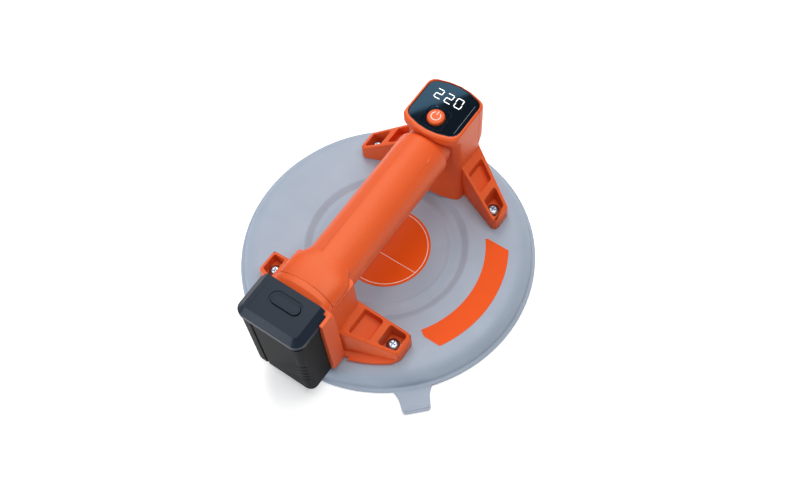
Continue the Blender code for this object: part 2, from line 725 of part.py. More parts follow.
def column_levels(inset):
    """The front leg's plan at each height: place of its rear and front faces, and half its width."""
    narrow = HEAD_HALF_WIDTH - 0.0003
    lip = HEAD_TOP - HEAD_SKIRT
    levels = [(SEAT, HEAD_REAR + GAP, COLUMN_FRONT, narrow + COLUMN_SPREAD)]
    levels += [(FLOOR_TOP, HEAD_REAR + COLUMN_STEPS[0] / 3, COLUMN_FRONT, narrow + COLUMN_SPREAD * 0.75)]
    spreads = (COLUMN_SPREAD * 0.3, 0.0, 0.0, 0.0)
    for z, step, front, spread in zip(COLUMN_HEIGHTS, COLUMN_STEPS, COLUMN_FRONTS, spreads):
        levels.append((z, HEAD_REAR + step, front, narrow + spread))
    levels += [(lip - 0.0025, HEAD_REAR + 0.0036, HEAD_FRONT, HEAD_HALF_WIDTH)]
    levels += [(lip, HEAD_REAR, HEAD_FRONT, HEAD_HALF_WIDTH)]
    if inset == 0.0:
        levels += [(HEAD_TOP - 0.0012, HEAD_REAR, HEAD_FRONT, HEAD_HALF_WIDTH)]
        levels += [(HEAD_TOP, HEAD_REAR + 0.0010, HEAD_FRONT - 0.0010, HEAD_HALF_WIDTH - 0.0010)]
    return [(z, rear + inset, front - inset, width - inset) for z, rear, front, width in levels]


def column_outer(name):
    levels = column_levels(0.0)
    rings = [[(x, y, z) for x, y in barrel(rear, front, width)] for z, rear, front, width in levels]
    return loft(name, rings, None)


def column_cavities(name):
    """The column's hollow, the wider seat for the circuit board, and the recess for the window."""
    low = [level for level in column_levels(HOUSING_WALL + BOARD_LEDGE) if FLOOR_TOP < level[0] < BOARD_Z]
    first = low[0]
    last = low[-1]
    low = [(FLOOR_TOP, *first[1:])] + low + [(BOARD_Z - GAP, *last[1:])]
    rings = [[(x, y, z) for x, y in barrel(rear, front, width)] for z, rear, front, width in low]
    hollow = loft(f"{name}_hollow", rings, None)
    ledge = WINDOW_LOW - GAP
    half = HEAD_HALF_WIDTH - RIM_WIDTH - SIDE_RIM_EXTRA + GAP
    rim = (HEAD_REAR + RIM_WIDTH - GAP, HEAD_FRONT - RIM_WIDTH + GAP, half)
    step = WINDOW_LEDGE
    bay_outline = barrel(rim[0] + 2 * step, rim[1] - step, CAVITY_HALF_WIDTH)
    bay = prism(f"{name}_board_bay", bay_outline, BOARD_Z - GAP, ledge - 0.0030)
    throat_outline = barrel(rim[0] + step, rim[1] - 1.5 * step, rim[2] - step)
    throat = prism(f"{name}_throat", throat_outline, ledge - 0.0035, ledge + 0.0005)
    recess = prism(f"{name}_recess", barrel(*rim), ledge, HEAD_TOP + 0.001)
    return hollow, bay, throat, recess


def build_front_leg():
    """The front leg with its feet and display head, and the cover that closes the head in front."""
    leg = column_outer("front_leg")
    leg.data.materials.append(orange_abs())
    cover = column_outer("head_cover")
    cover.data.materials.append(orange_abs())
    hollows = column_cavities("head")
    reach = 0.2
    cut(leg, box("cover_space", (COVER_PLANE - GAP, -reach, COVER_LOW), (reach, reach, reach)))
    keep(cover, box("cover_part", (COVER_PLANE, -reach, COVER_LOW + GAP), (reach, reach, reach)))
    cutters = add_feet(leg, "front", 1, FRONT_FOOT_INNER, FRONT_FOOT_OUTER)
    join(leg, prism("front_flange", flange_outline(1, FRONT_FOOT_OUTER[1]), SEAT, FLOOR_TOP))
    cut(leg, *cutters, *hollows)
    cut(cover, *hollows)
    neck = NECK_STEP - GAP
    oval = (GRIP_HALF_WIDTH - neck, GRIP_HALF_HEIGHT - neck)
    cut(leg, loft("neck_hole", [grip_ring(x, *oval) for x in (GRIP_FRONT - 0.01, NECK_END + 0.003)], None))
    inlet = (INLET_X, 0.0)
    cut(leg, upright_cylinder("leg_inlet", inlet, SPIGOT_RADIUS + GAP, SEAT - 0.001, FLOOR_TOP + 0.001))


def build_rear_leg():
    """The rear leg with its feet, open at the top under the saddle."""
    levels = ((SEAT, 0.0022, 0.0014), (FLOOR_TOP, 0.0010, 0.0006), (0.0245, 0.0, 0.0), (LEG_TOP, 0.0, 0.0))
    rings = []
    for z, toe, spread in levels:
        outline = rounded_box_outline(LEG_REAR, LEG_FRONT + toe, LEG_HALF_WIDTH + spread, 0.0030)
        rings.append([(x, y, z) for x, y in outline])
    leg = loft("rear_leg", rings, orange_abs())
    cutters = add_feet(leg, "rear", -1, REAR_FOOT_INNER, REAR_FOOT_OUTER)
    flange = flange_outline(-1, REAR_FOOT_OUTER[1])
    join(leg, prism("rear_flange", flange, SEAT, FLOOR_TOP))
    wall = HOUSING_WALL
    inside = rounded_box_outline(LEG_REAR + wall, LEG_FRONT - wall, LEG_HALF_WIDTH - wall, 0.0015, 2)
    cut(leg, *cutters, prism("rear_hollow", inside, FLOOR_TOP, LEG_TOP + 0.001))
    ring = (GRIP_HALF_WIDTH + GAP, GRIP_HALF_HEIGHT + GAP)
    cut(leg, loft("grip_notch", [grip_ring(x, *ring) for x in (GRIP_REAR - 0.001, GRIP_REAR + 0.02)], None))
    reach = 0.03
    cut(leg, box("flange_trim", (LEG_REAR - reach, -reach, 0.0), (LEG_REAR, reach, LEG_TOP)))
    cut(leg, box("wire_way", (LEG_REAR - 0.001, -0.006, 0.0240), (LEG_REAR + 0.004, 0.006, 0.0320)))


def build_dock():
    """The battery dock: an end cap that continues the saddle, a plate, and two hooked rails."""
    front = LEG_REAR - GAP
    outline = [(-RAIL_OUTER_Y, DOCK_LOW, 0.0), (RAIL_OUTER_Y, DOCK_LOW, 0.0)]
    outline += [(RAIL_OUTER_Y, DOCK_TOP, 0.0030), (-RAIL_OUTER_Y, DOCK_TOP, 0.0030)]
    plate = [[(x, y, z) for y, z in rounded(outline)] for x in (front, DOCK_REAR)]
    dock = loft("battery_dock", plate, orange_abs())
    end = SADDLE_END - GAP
    rings = [arch(end, SADDLE_HALF_WIDTH, SADDLE_CROWN, 0.0, SADDLE_BOW, True)]
    rings.append(arch(end - 0.0030, SADDLE_HALF_WIDTH, SADDLE_CROWN - 0.0002, 0.0, SADDLE_BOW / 2, True))
    rings.append(arch(front - 0.0010, SADDLE_HALF_WIDTH + 0.0005, DOCK_TOP + DOCK_CREST, 0.0, 0.0, True))
    join(dock, loft("dock_crown", rings, None))
    for hand, side in (("left", 1), ("right", -1)):
        rail = [(DOCK_REAR + 0.001, RAIL_INNER_Y), (DOCK_REAR + 0.001, RAIL_OUTER_Y), (RAIL_REAR, RAIL_OUTER_Y)]
        rail += [(RAIL_REAR, RAIL_INNER_Y)]
        hook = [(RAIL_REAR + HOOK_THICKNESS, HOOK_INNER_Y), (RAIL_REAR + HOOK_THICKNESS, RAIL_INNER_Y + 0.001)]
        hook += [(RAIL_REAR, RAIL_INNER_Y + 0.001), (RAIL_REAR, HOOK_INNER_Y)]
        join(dock, prism(f"rail_{hand}", facing(rail, 1, side), DOCK_LOW, RAIL_TOP))
        join(dock, prism(f"hook_{hand}", facing(hook, 1, side), DOCK_LOW, CAP_LOW - RUNNING))
    notch = LATCH_HALF_WIDTH + RUNNING
    notch_front = DOCK_REAR + LATCH_REACH + 2 * RUNNING
    cut(dock, box("latch_seat", (DOCK_REAR - 0.001, -notch, latch_low() - RUNNING - LATCH_SEAT_DEPTH),
                  (notch_front, notch, SADDLE_CROWN + DOCK_PLATE)))
    cut(dock, box("dock_wire_way", (DOCK_REAR - 0.001, -0.005, 0.0250), (front + 0.001, 0.005, 0.0310)))
    build_terminals()


def build_terminals():
    """The terminal block on the dock and its two contact blades."""
    low = FLOOR_TOP + 0.0035
    block_rear = DOCK_REAR - GAP - 0.0020
    half = TERMINAL_HALF_WIDTH - 0.0015
    top = TERMINAL_TOP - 0.0020
    block = box("terminal_block", (block_rear, -half, low), (DOCK_REAR - GAP, half, top), black_plastic())
    for hand, side in (("positive", 1), ("negative", -1)):
        y = side * half * 0.55
        slot = 0.0005
        reach = BATTERY_FRONT - TERMINAL_DEPTH + RUNNING
        cut(block, box(f"{hand}_slot", (block_rear - 0.001, y - slot - GAP, low + 0.002 - GAP),
                       (DOCK_REAR - GAP - 0.0008, y + slot + GAP, top - 0.002 + GAP)))
        box(f"{hand}_contact", (reach, y - slot, low + 0.002),
            (DOCK_REAR - GAP - 0.0011, y + slot, top - 0.002), copper_alloy())


def build_feet_fasteners():
    """A pan-head screw and a washer in every foot."""
    seat = SEAT + FOOT_FLOOR + GAP
    for place, x, y in screw_places():
        washer = cylinder_profile(WASHER_RADIUS, seat, seat + WASHER_THICKNESS, SCREW_RADIUS + GAP)
        turned(f"foot_washer_{place}", washer, zinc_steel(), place=(x, y, 0), count=16)
        under = seat + WASHER_THICKNESS + GAP
        end = PLATE_LOW + GAP
        profile = [(0.0, end), (SCREW_RADIUS, end), (SCREW_RADIUS, under), (HEAD_RADIUS, under)]
        profile += [(HEAD_RADIUS, under + HEAD_HEIGHT * 0.5), (HEAD_RADIUS * 0.88, under + HEAD_HEIGHT * 0.85)]
        profile += [(HEAD_RADIUS * 0.6, under + HEAD_HEIGHT), (0.0, under + HEAD_HEIGHT)]
        screw = turned(f"foot_screw_{place}", profile, zinc_steel(), place=(x, y, 0), count=16)
        for k, (long, short) in enumerate(((0.0024, 0.0005), (0.0005, 0.0024))):
            top = under + HEAD_HEIGHT
            cut(screw, box(f"cross_{k}_{place}", (x - long, y - short, top - 0.0016),
                           (x + long, y + short, top + 0.001)))


def latch_low():
    """Height of the latch's underside."""
    return BATTERY_TOP - CAP_WALL - GAP - LATCH_THICKNESS - LATCH_DROP


def build_battery():
    """The battery: case, cap, two cells, a small board, the release button and its latch."""
    low = BATTERY_LOW
    edge = 0.0020
    rings = []
    for z, inset in ((low, edge), (low + edge, 0.0), (CAP_LOW - GAP, 0.0)):
        outline = rounded_box_outline(BATTERY_REAR + inset, BATTERY_FRONT - inset, BATTERY_HALF_WIDTH - inset,
                                      BATTERY_CORNER, 4)
        rings.append([(x, y, z) for x, y in outline])
    case = loft("battery_case", rings, black_plastic())
    cell_x = BATTERY_REAR + CASE_WALL + GAP + CELL_RADIUS
    half_hollow = 2 * CELL_RADIUS + 3 * GAP
    hollow = rounded_box_outline(BATTERY_REAR + CASE_WALL, cell_x + CELL_RADIUS + GAP, half_hollow, 0.0020, 2)
    cut(case, prism("cell_hollow", hollow, low + CASE_WALL, BATTERY_TOP))
    for hand, side in (("left", 1), ("right", -1)):
        x_rear = RAIL_REAR - RUNNING
        x_front = RAIL_REAR + HOOK_THICKNESS + RUNNING
        groove = [(x_rear, HOOK_INNER_Y - RUNNING), (x_front, HOOK_INNER_Y - RUNNING)]
        groove += [(x_front, BATTERY_HALF_WIDTH + 0.001), (x_rear, BATTERY_HALF_WIDTH + 0.001)]
        cut(case, prism(f"rail_groove_{hand}", facing(groove, 1, side), 0.0, CAP_LOW + 0.001))
        cell = cylinder_profile(CELL_RADIUS, 0.0, CELL_LENGTH)
        y = side * (CELL_RADIUS + GAP / 2)
        turned(f"cell_{hand}", cell, cell_wrap(), place=(cell_x, y, low + CASE_WALL + GAP), count=20)
    cut(case, box("terminal_recess", (BATTERY_FRONT - TERMINAL_DEPTH, -TERMINAL_HALF_WIDTH, 0.0),
                  (BATTERY_FRONT + 0.001, TERMINAL_HALF_WIDTH, TERMINAL_TOP)))
    build_battery_cap()
    cell_top = low + CASE_WALL + GAP + CELL_LENGTH
    half = half_hollow - 0.001
    box("battery_board", (BATTERY_REAR + CASE_WALL + 0.001, -half, cell_top + GAP),
        (cell_x + CELL_RADIUS - 0.001, half, cell_top + GAP + 0.0008), circuit_board())


def build_battery_cap():
    """The chamfered cap, the oval release button in it and the latch that the button draws back."""
    front = BATTERY_FRONT
    knee = BATTERY_TOP - CAP_HEIGHT / 2
    levels = ((CAP_LOW, 0.0, 0.0), (knee, 0.0, 0.0), (BATTERY_TOP - 0.0006, CAP_CHAMFER * 0.9, 0.0),
              (BATTERY_TOP, CAP_CHAMFER, 0.0008))
    rings = []
    for z, inset, front_inset in levels:
        outline = rounded_box_outline(BATTERY_REAR + inset, front - front_inset, BATTERY_HALF_WIDTH - inset,
                                      BATTERY_CORNER, 4)
        rings.append([(x, y, z) for x, y in outline])
    cap = loft("battery_cap", rings, navy_plastic())
    ceiling = BATTERY_TOP - CAP_WALL
    rings = []
    for z, inset in ((CAP_LOW - 0.001, 0.0), (knee, 0.0), (ceiling, CAP_CHAMFER * 0.75)):
        wall = CAP_WALL + inset
        outline = rounded_box_outline(BATTERY_REAR + wall, front - CAP_WALL, BATTERY_HALF_WIDTH - wall,
                                      BATTERY_CORNER / 2, 2)
        rings.append([(x, y, z) for x, y in outline])
    cut(cap, loft("cap_hollow", rings, None))

    def oval(grow):
        half = RELEASE_WIDTH / 2 + grow
        reach = RELEASE_LENGTH / 2 + grow
        return rounded([(RELEASE_X - half, -reach, half * 0.98), (RELEASE_X + half, -reach, half * 0.98),
                        (RELEASE_X + half, reach, half * 0.98), (RELEASE_X - half, reach, half * 0.98)], 5)

    cut(cap, prism("release_hole", oval(RUNNING), ceiling - 0.001, BATTERY_TOP + 0.001))
    flange = 0.0008
    flange_top = ceiling - GAP
    crown = BATTERY_TOP + RELEASE_RISE
    button = prism("release_button", oval(0.0), flange_top - 0.0001, crown, navy_plastic())
    join(button, prism("release_flange", oval(RUNNING + flange), flange_top - flange, flange_top))
    low = latch_low()
    slot = LATCH_HALF_WIDTH + RUNNING
    cut(cap, box("latch_slot", (front - CAP_WALL - 0.001, -slot, low - RUNNING),
                 (front + 0.001, slot, low + LATCH_THICKNESS + RUNNING)))
    rear = RELEASE_X + RELEASE_WIDTH / 2 + RUNNING + flange + 2 * RUNNING
    box("latch", (rear + RELEASE_TRAVEL, -LATCH_HALF_WIDTH, low),
        (front + RUNNING + LATCH_REACH, LATCH_HALF_WIDTH, low + LATCH_THICKNESS), black_plastic())


def build_display():
    """The window, the power button and the electronics under them."""
    rear = HEAD_REAR + RIM_WIDTH
    front = HEAD_FRONT - RIM_WIDTH
    half = HEAD_HALF_WIDTH - RIM_WIDTH - SIDE_RIM_EXTRA
    window = prism("display_window", barrel(rear, front, half), WINDOW_LOW, WINDOW_TOP, glossy_panel())
    place = (BUTTON_X, 0.0)
    cut(window, upright_cylinder("button_hole", place, BUTTON_RADIUS + RUNNING, WINDOW_LOW - 0.001, HEAD_TOP,
                                 count=24))
    flange_top = WINDOW_LOW - GAP
    flange_low = flange_top - BUTTON_FLANGE
    crown = WINDOW_TOP + BUTTON_RISE
    board_top = BOARD_Z + BOARD_THICKNESS
    switch_low = board_top + GAP
    stem = switch_low + SWITCH_HEIGHT + BUTTON_TRAVEL + GAP
    profile = [(0.0, stem), (0.0018, stem), (0.0018, flange_low), (BUTTON_RADIUS + 0.0012, flange_low)]
    profile += [(BUTTON_RADIUS + 0.0012, flange_top), (BUTTON_RADIUS, flange_top)]
    profile += [(BUTTON_RADIUS, crown - 0.0010), (BUTTON_RADIUS * 0.93, crown - 0.0003)]
    profile += [(BUTTON_RADIUS * 0.8, crown), (0.0, crown - 0.0002)]
    turned("power_button", profile, orange_abs(), place=(BUTTON_X, 0, 0), count=24)
    board_rear = NECK_END + 0.0015
    board_front = HEAD_FRONT - RIM_WIDTH - 2 * WINDOW_LEDGE - HEAD_BULGE
    board_half = CAVITY_HALF_WIDTH - GAP
    corners = [(board_rear, -board_half, HEAD_CORNER + 0.0015), (board_front, -board_half, HEAD_CORNER + 0.003)]
    corners += [(board_front, board_half, HEAD_CORNER + 0.003), (board_rear, board_half, HEAD_CORNER + 0.0015)]
    prism("control_board", rounded(corners, 3), BOARD_Z, board_top, circuit_board())
    box("power_switch", (BUTTON_X - 0.003, -0.003, switch_low),
        (BUTTON_X + 0.003, 0.003, switch_low + SWITCH_HEIGHT), black_plastic())
    box("display_module", (BUTTON_X + BUTTON_RADIUS + 0.0030, -DISPLAY_HALF_WIDTH, board_top + GAP),
        (board_front, DISPLAY_HALF_WIDTH, WINDOW_LOW - GAP), black_plastic())


def build_vacuum_parts():
    """The manifold over the inlet, the release valve with its plunger, the sensor and the tubes."""
    low = FLOOR_TOP + GAP
    top = low + MANIFOLD_HEIGHT
    half = MANIFOLD_WIDTH / 2
    rear = BARB_X - BARB_RADIUS - 0.0012
    front = rear + MANIFOLD_LENGTH
    block = box("vacuum_manifold", (rear, -half, low), (front, half, top), black_plastic())
    inlet = (INLET_X, 0.0)
    join(block, upright_cylinder("manifold_spigot", inlet, SPIGOT_RADIUS, PLATE_LOW + GAP, low + 0.001))
    join(block, upright_cylinder("manifold_barb", (BARB_X, 0.0), BARB_RADIUS, top - 0.001, top + BARB_HEIGHT))
    cut(block, upright_cylinder("manifold_bore", inlet, SPIGOT_BORE, 0.0, top - 0.002, count=12))
    cut(block, upright_cylinder("barb_bore", (BARB_X, 0.0), BARB_RADIUS / 2, low + 0.003, top + 0.01, count=12))
    cut(block, box("cross_bore", (BARB_X, -0.001, low + 0.004), (INLET_X, 0.001, low + 0.006)))
    valve_low = top + GAP
    valve_rear = BARB_X + TUBE_RADIUS + 0.0030
    valve_top = valve_low + 0.0200
    valve_x = (valve_rear + front) / 2
    valve = box("release_valve", (valve_rear, -0.0050, valve_low), (front, 0.0050, valve_top), black_plastic())
    plunger = 0.0018
    cut(valve, upright_cylinder("valve_bore", (valve_x, 0.0), plunger + GAP, valve_low + 0.008,
                                valve_top + 0.001))
    upright_cylinder("valve_plunger", (valve_x, 0.0), plunger, valve_low + 0.008 + GAP, valve_top + 0.0015,
                     zinc_steel(), count=14)
    sensor_top = BOARD_Z - GAP
    sensor_low = sensor_top - 0.0032
    place = (BARB_X + 0.0020, half - 0.0025)
    body = 0.0040
    box("pressure_sensor", (place[0] - body, place[1] - body, sensor_low),
        (place[0] + body, place[1] + body, sensor_top), black_plastic())
    upright_cylinder("sensor_tube", place, 0.0014, top + GAP, sensor_low - GAP, white_silicone(), count=12)
    build_pump_tube(top + BARB_HEIGHT + GAP)


def build_pump_tube(low):
    """The tube from the pump's nozzle along the grip and down to the manifold's barb."""
    start = VALVE_HEAD_FRONT + NOZZLE_LENGTH + GAP
    bend_x = BARB_X - TUBE_BEND
    route = [(start, GRIP_AXIS_Z), ((start + bend_x) / 2, GRIP_AXIS_Z)]
    for k in range(6):
        turn = k * pi / 10
        route.append((bend_x + TUBE_BEND * sin(turn), GRIP_AXIS_Z - TUBE_BEND * (1 - cos(turn))))
    route.append((BARB_X, (GRIP_AXIS_Z - TUBE_BEND + low) / 2))
    route.append((BARB_X, low))
    rings = []
    for k, (x, z) in enumerate(route):
        before = route[max(k - 1, 0)]
        after = route[min(k + 1, len(route) - 1)]
        along = Vector((after[0] - before[0], 0.0, after[1] - before[1])).normalized()
        if k == 0:
            along = Vector((1, 0, 0))
        if k == len(route) - 1:
            along = Vector((0, 0, -1))
        up = Vector((0, 1, 0)).cross(along)
        rings.append([Vector((x, 0, z)) + Vector((0, y, 0)) + up * u for y, u in circle(TUBE_RADIUS, 12)])
    loft("pump_tube", rings, white_silicone())


def build_pump():
    """The diaphragm pump in the grip: motor, shaft with its eccentric, crankcase, diaphragm and valve head."""
    axis = (0.0, 0.0, GRIP_AXIS_Z)
    profile = cylinder_profile(MOTOR_RADIUS, MOTOR_REAR, MOTOR_FRONT)
    motor = turned("pump_motor", profile, zinc_steel(), axis, "X", 20)
    shaft_rear = MOTOR_FRONT - 0.0090
    bore = cylinder_profile(SHAFT_RADIUS + GAP, shaft_rear - GAP, MOTOR_FRONT + 0.001)
    cut(motor, turned("motor_bore", bore, None, axis, "X", 12))
    shaft_front = CRANKCASE_REAR + 0.0065
    profile = cylinder_profile(SHAFT_RADIUS, shaft_rear, shaft_front)
    shaft = turned("motor_shaft", profile, zinc_steel(), axis, "X", 12)
    disc = cylinder_profile(ECCENTRIC_RADIUS, shaft_front - 0.0045, shaft_front + 0.0005)
    join(shaft, turned("eccentric", disc, None, (0.0, 0.0, GRIP_AXIS_Z + ECCENTRIC_OFFSET), "X", 20))
    ring = ((CRANKCASE_RADIUS - 0.0040, CRANKCASE_REAR), (CRANKCASE_RADIUS, CRANKCASE_REAR),
            (CRANKCASE_RADIUS, CRANKCASE_FRONT), (CRANKCASE_RADIUS - 0.0040, CRANKCASE_FRONT))
    turned("pump_crankcase", ring, black_plastic(), axis, "X", 20)
    disc = cylinder_profile(CRANKCASE_RADIUS, DIAPHRAGM_REAR, DIAPHRAGM_REAR + DIAPHRAGM_THICKNESS)
    turned("pump_diaphragm", disc, dark_rubber(), axis, "X", 20)
    nozzle = BARB_RADIUS
    tip = VALVE_HEAD_FRONT + NOZZLE_LENGTH
    chamfer = 0.0020
    profile = [(0.0, VALVE_HEAD_REAR), (CRANKCASE_RADIUS, VALVE_HEAD_REAR)]
    profile += [(CRANKCASE_RADIUS, VALVE_HEAD_FRONT - chamfer), (CRANKCASE_RADIUS - chamfer, VALVE_HEAD_FRONT)]
    profile += [(nozzle, VALVE_HEAD_FRONT), (nozzle, tip), (0.0, tip)]
    turned("pump_head", profile, black_plastic(), axis, "X", 20)
    for name, start, radius in (("motor_mount", MOTOR_REAR + 0.006, MOTOR_RADIUS),
                                ("pump_mount", VALVE_HEAD_REAR + 0.002, CRANKCASE_RADIUS)):
        inset = GRIP_WALL + GAP
        mount = loft(name, [grip_ring(x, GRIP_HALF_WIDTH - inset, GRIP_HALF_HEIGHT - inset)
                            for x in (start, start + MOUNT_WIDTH)], dark_rubber())
        bore = cylinder_profile(radius + GAP, start - 0.001, start + MOUNT_WIDTH + 0.001)
        cut(mount, turned(f"{name}_bore", bore, None, axis, "X", 20))


def build():
    clear_scene()
    build_pad()
    build_front_leg()
    build_rear_leg()
    build_grip()
    build_dock()
    build_feet_fasteners()
    build_battery()
    build_display()
    build_vacuum_parts()
    build_pump()


build()
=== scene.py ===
"""The dressed suction lifter: finishes for every solid, and the pieces that only show."""

import json
from math import cos, pi, radians, sin, tan

import bpy
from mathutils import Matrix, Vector


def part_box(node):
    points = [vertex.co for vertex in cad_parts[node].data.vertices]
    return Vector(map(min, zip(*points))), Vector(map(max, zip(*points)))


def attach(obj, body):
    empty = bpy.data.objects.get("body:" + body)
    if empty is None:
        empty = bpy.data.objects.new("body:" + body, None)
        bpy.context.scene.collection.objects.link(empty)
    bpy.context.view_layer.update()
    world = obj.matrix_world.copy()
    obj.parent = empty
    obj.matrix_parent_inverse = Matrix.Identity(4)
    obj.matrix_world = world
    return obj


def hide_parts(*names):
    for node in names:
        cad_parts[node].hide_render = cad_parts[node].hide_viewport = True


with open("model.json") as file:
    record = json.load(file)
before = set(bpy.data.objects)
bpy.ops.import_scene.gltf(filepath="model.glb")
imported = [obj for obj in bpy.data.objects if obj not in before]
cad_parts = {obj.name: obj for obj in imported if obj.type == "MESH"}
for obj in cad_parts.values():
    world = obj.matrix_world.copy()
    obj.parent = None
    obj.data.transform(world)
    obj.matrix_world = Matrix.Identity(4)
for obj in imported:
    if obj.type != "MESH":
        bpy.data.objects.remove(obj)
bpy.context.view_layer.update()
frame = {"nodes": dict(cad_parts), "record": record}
NODES = frame["nodes"]

# Places and lengths that more than one piece uses, in metres
SAME_CORNER = 0.000002
SCREW_X, SCREW_Y = 0.0628, 0.0508
BUTTON_SPOT = (0.0682, 0.0)
RELEASE_SPOT = (-0.0988, 0.0)
DISH_DEPTH, ISLAND_RISE = 0.0031, 0.0008
FLANGE_LOW, FLANGE_HIGH = 0.0140, 0.0190


# Choosing and shaping

def only(piece):
    """Chooses one piece and nothing else."""
    if bpy.context.object and bpy.context.object.mode != "OBJECT":
        bpy.ops.object.mode_set(mode="OBJECT")
    bpy.ops.object.select_all(action="DESELECT")
    piece.select_set(True)
    bpy.context.view_layer.objects.active = piece


def newest(name):
    """Names the piece that an operator has just made."""
    piece = bpy.context.object
    piece.name = name
    piece.data.name = name
    return piece


def pick(piece, test, kind="FACE"):
    """Goes into edit mode with the faces, edges or corners that pass the test chosen."""
    only(piece)
    bpy.ops.object.mode_set(mode="EDIT")
    bpy.ops.mesh.select_mode(type=kind)
    bpy.ops.mesh.select_all(action="DESELECT")
    bpy.ops.object.mode_set(mode="OBJECT")
    mesh = piece.data
    if kind == "FACE":
        for face in mesh.polygons:
            face.select = test(face.center, face.normal)
    elif kind == "EDGE":
        for edge in mesh.edges:
            ends = [mesh.vertices[i].co for i in edge.vertices]
            edge.select = test((ends[0] + ends[1]) / 2, (ends[1] - ends[0]).normalized())
    else:
        for corner in mesh.vertices:
            corner.select = test(corner.co, corner.normal)
    bpy.ops.object.mode_set(mode="EDIT")


def settle(piece):
    """Back to object mode, with the piece's place, turn and size put into its mesh."""
    only(piece)
    bpy.ops.object.transform_apply(location=True, rotation=True, scale=True)


def apply_step(piece, kind, **settings):
    """Adds a modifier with its settings and applies it."""
    only(piece)
    bpy.ops.object.modifier_add(type=kind)
    step = piece.modifiers[-1]
    for key, value in settings.items():
        setattr(step, key, value)
    bpy.ops.object.modifier_apply(modifier=step.name)


def break_edges(piece, width, segments=2, angle=35):
    """A small round on every sharp edge, with the flats kept flat in the light."""
    only(piece)
    bpy.ops.object.shade_smooth_by_angle(angle=radians(angle))
    apply_step(piece, "BEVEL", width=width, segments=segments, limit_method="ANGLE", angle_limit=radians(angle),
               use_clamp_overlap=True, miter_outer="MITER_ARC", harden_normals=True)


def cut_out(piece, cutter):
    """Cuts one piece out of another, and takes the cutter away."""
    apply_step(piece, "BOOLEAN", operation="DIFFERENCE", solver="EXACT", object=cutter)
    bpy.data.objects.remove(cutter, do_unlink=True)


def fuse(piece, other):
    """Joins one piece to another, and takes the other away."""
    apply_step(piece, "BOOLEAN", operation="UNION", solver="EXACT", object=other)
    bpy.data.objects.remove(other, do_unlink=True)


def place(piece, look, body, stands_for=()):
    """Gives a finished piece its material, its body and the solids that it stands for."""
    settle(piece)
    piece.data.materials.clear()
    piece.data.materials.append(look)
    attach(piece, body)
    if stands_for:
        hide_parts(*stands_for)
    return piece


def finished_copy(node, name):
    """A copy of a solid with its loose triangles merged back into whole faces."""
    only(NODES[node])
    bpy.ops.object.duplicate()
    piece = newest(name)
    for key in list(piece.keys()):
        del piece[key]
    piece.parent = None
    bpy.ops.object.mode_set(mode="EDIT")
    bpy.ops.mesh.select_all(action="SELECT")
    bpy.ops.mesh.remove_doubles(threshold=SAME_CORNER)
    bpy.ops.mesh.dissolve_limited(angle_limit=radians(0.4))
    bpy.ops.object.mode_set(mode="OBJECT")
    return piece


def box(name, low, high):
    """A block between two corners."""
    middle = [(a + b) / 2 for a, b in zip(low, high)]
    bpy.ops.mesh.primitive_cube_add(size=1, location=middle)
    piece = newest(name)
    piece.scale = [b - a for a, b in zip(low, high)]
    settle(piece)
    return piece


def disc(name, radius, low, high, centre=(0.0, 0.0), sides=64):
    """A round plate or bar along Z."""
    bpy.ops.mesh.primitive_cylinder_add(vertices=sides, radius=radius, depth=high - low,
                                        location=(centre[0], centre[1], (low + high) / 2))
    piece = newest(name)
    settle(piece)
    return piece


def fillet(corners):
    """A path whose corners (x, z, radius, steps) are rounded by arcs."""
    path = []
    for i, (x, z, radius, steps) in enumerate(corners):
        if radius == 0 or i in (0, len(corners) - 1):
            path.append(Vector((x, z)))
            continue
        here = Vector((x, z))
        back = (Vector(corners[i - 1][:2]) - here).normalized()
        ahead = (Vector(corners[i + 1][:2]) - here).normalized()
        half = back.angle(ahead) / 2
        centre = here + (back + ahead).normalized() * radius / sin(half)
        start = here + back * radius / tan(half) - centre
        end = here + ahead * radius / tan(half) - centre
        sweep = start.angle(end)
        for k in range(steps + 1):
            share = k / steps
            path.append(centre + (start * sin(sweep * (1 - share)) + end * sin(sweep * share)) / sin(sweep))
    return path


def single_corner(name, spot):
    """A plane drawn together to one corner at a place, left in edit mode with the corner chosen."""
    bpy.ops.mesh.primitive_plane_add(size=0.001, location=(0, 0, 0))
    piece = newest(name)
    bpy.ops.object.mode_set(mode="EDIT")
    bpy.ops.mesh.select_mode(type="VERT")
    bpy.ops.mesh.select_all(action="SELECT")
    bpy.ops.mesh.merge(type="CENTER")
    bpy.ops.transform.translate(value=spot)
    return piece


def lathe(name, path, steps=96, centre=(0.0, 0.0)):
    """A corner drawn out along a path of radius and height, and spun about an upright axis."""
    piece = single_corner(name, (path[0][0], 0, path[0][1]))
    for before, after in zip(path, path[1:]):
        move = (after[0] - before[0], 0, after[1] - before[1])
        bpy.ops.mesh.extrude_region_move(TRANSFORM_OT_translate={"value": move})
    bpy.ops.mesh.select_all(action="SELECT")
    bpy.ops.mesh.spin(steps=steps, angle=2 * pi, center=(0, 0, 0), axis=(0, 0, 1))
    bpy.ops.mesh.select_all(action="SELECT")
    bpy.ops.mesh.remove_doubles(threshold=SAME_CORNER)
    face_outwards()
    piece.location = (centre[0], centre[1], 0)
    settle(piece)
    return piece


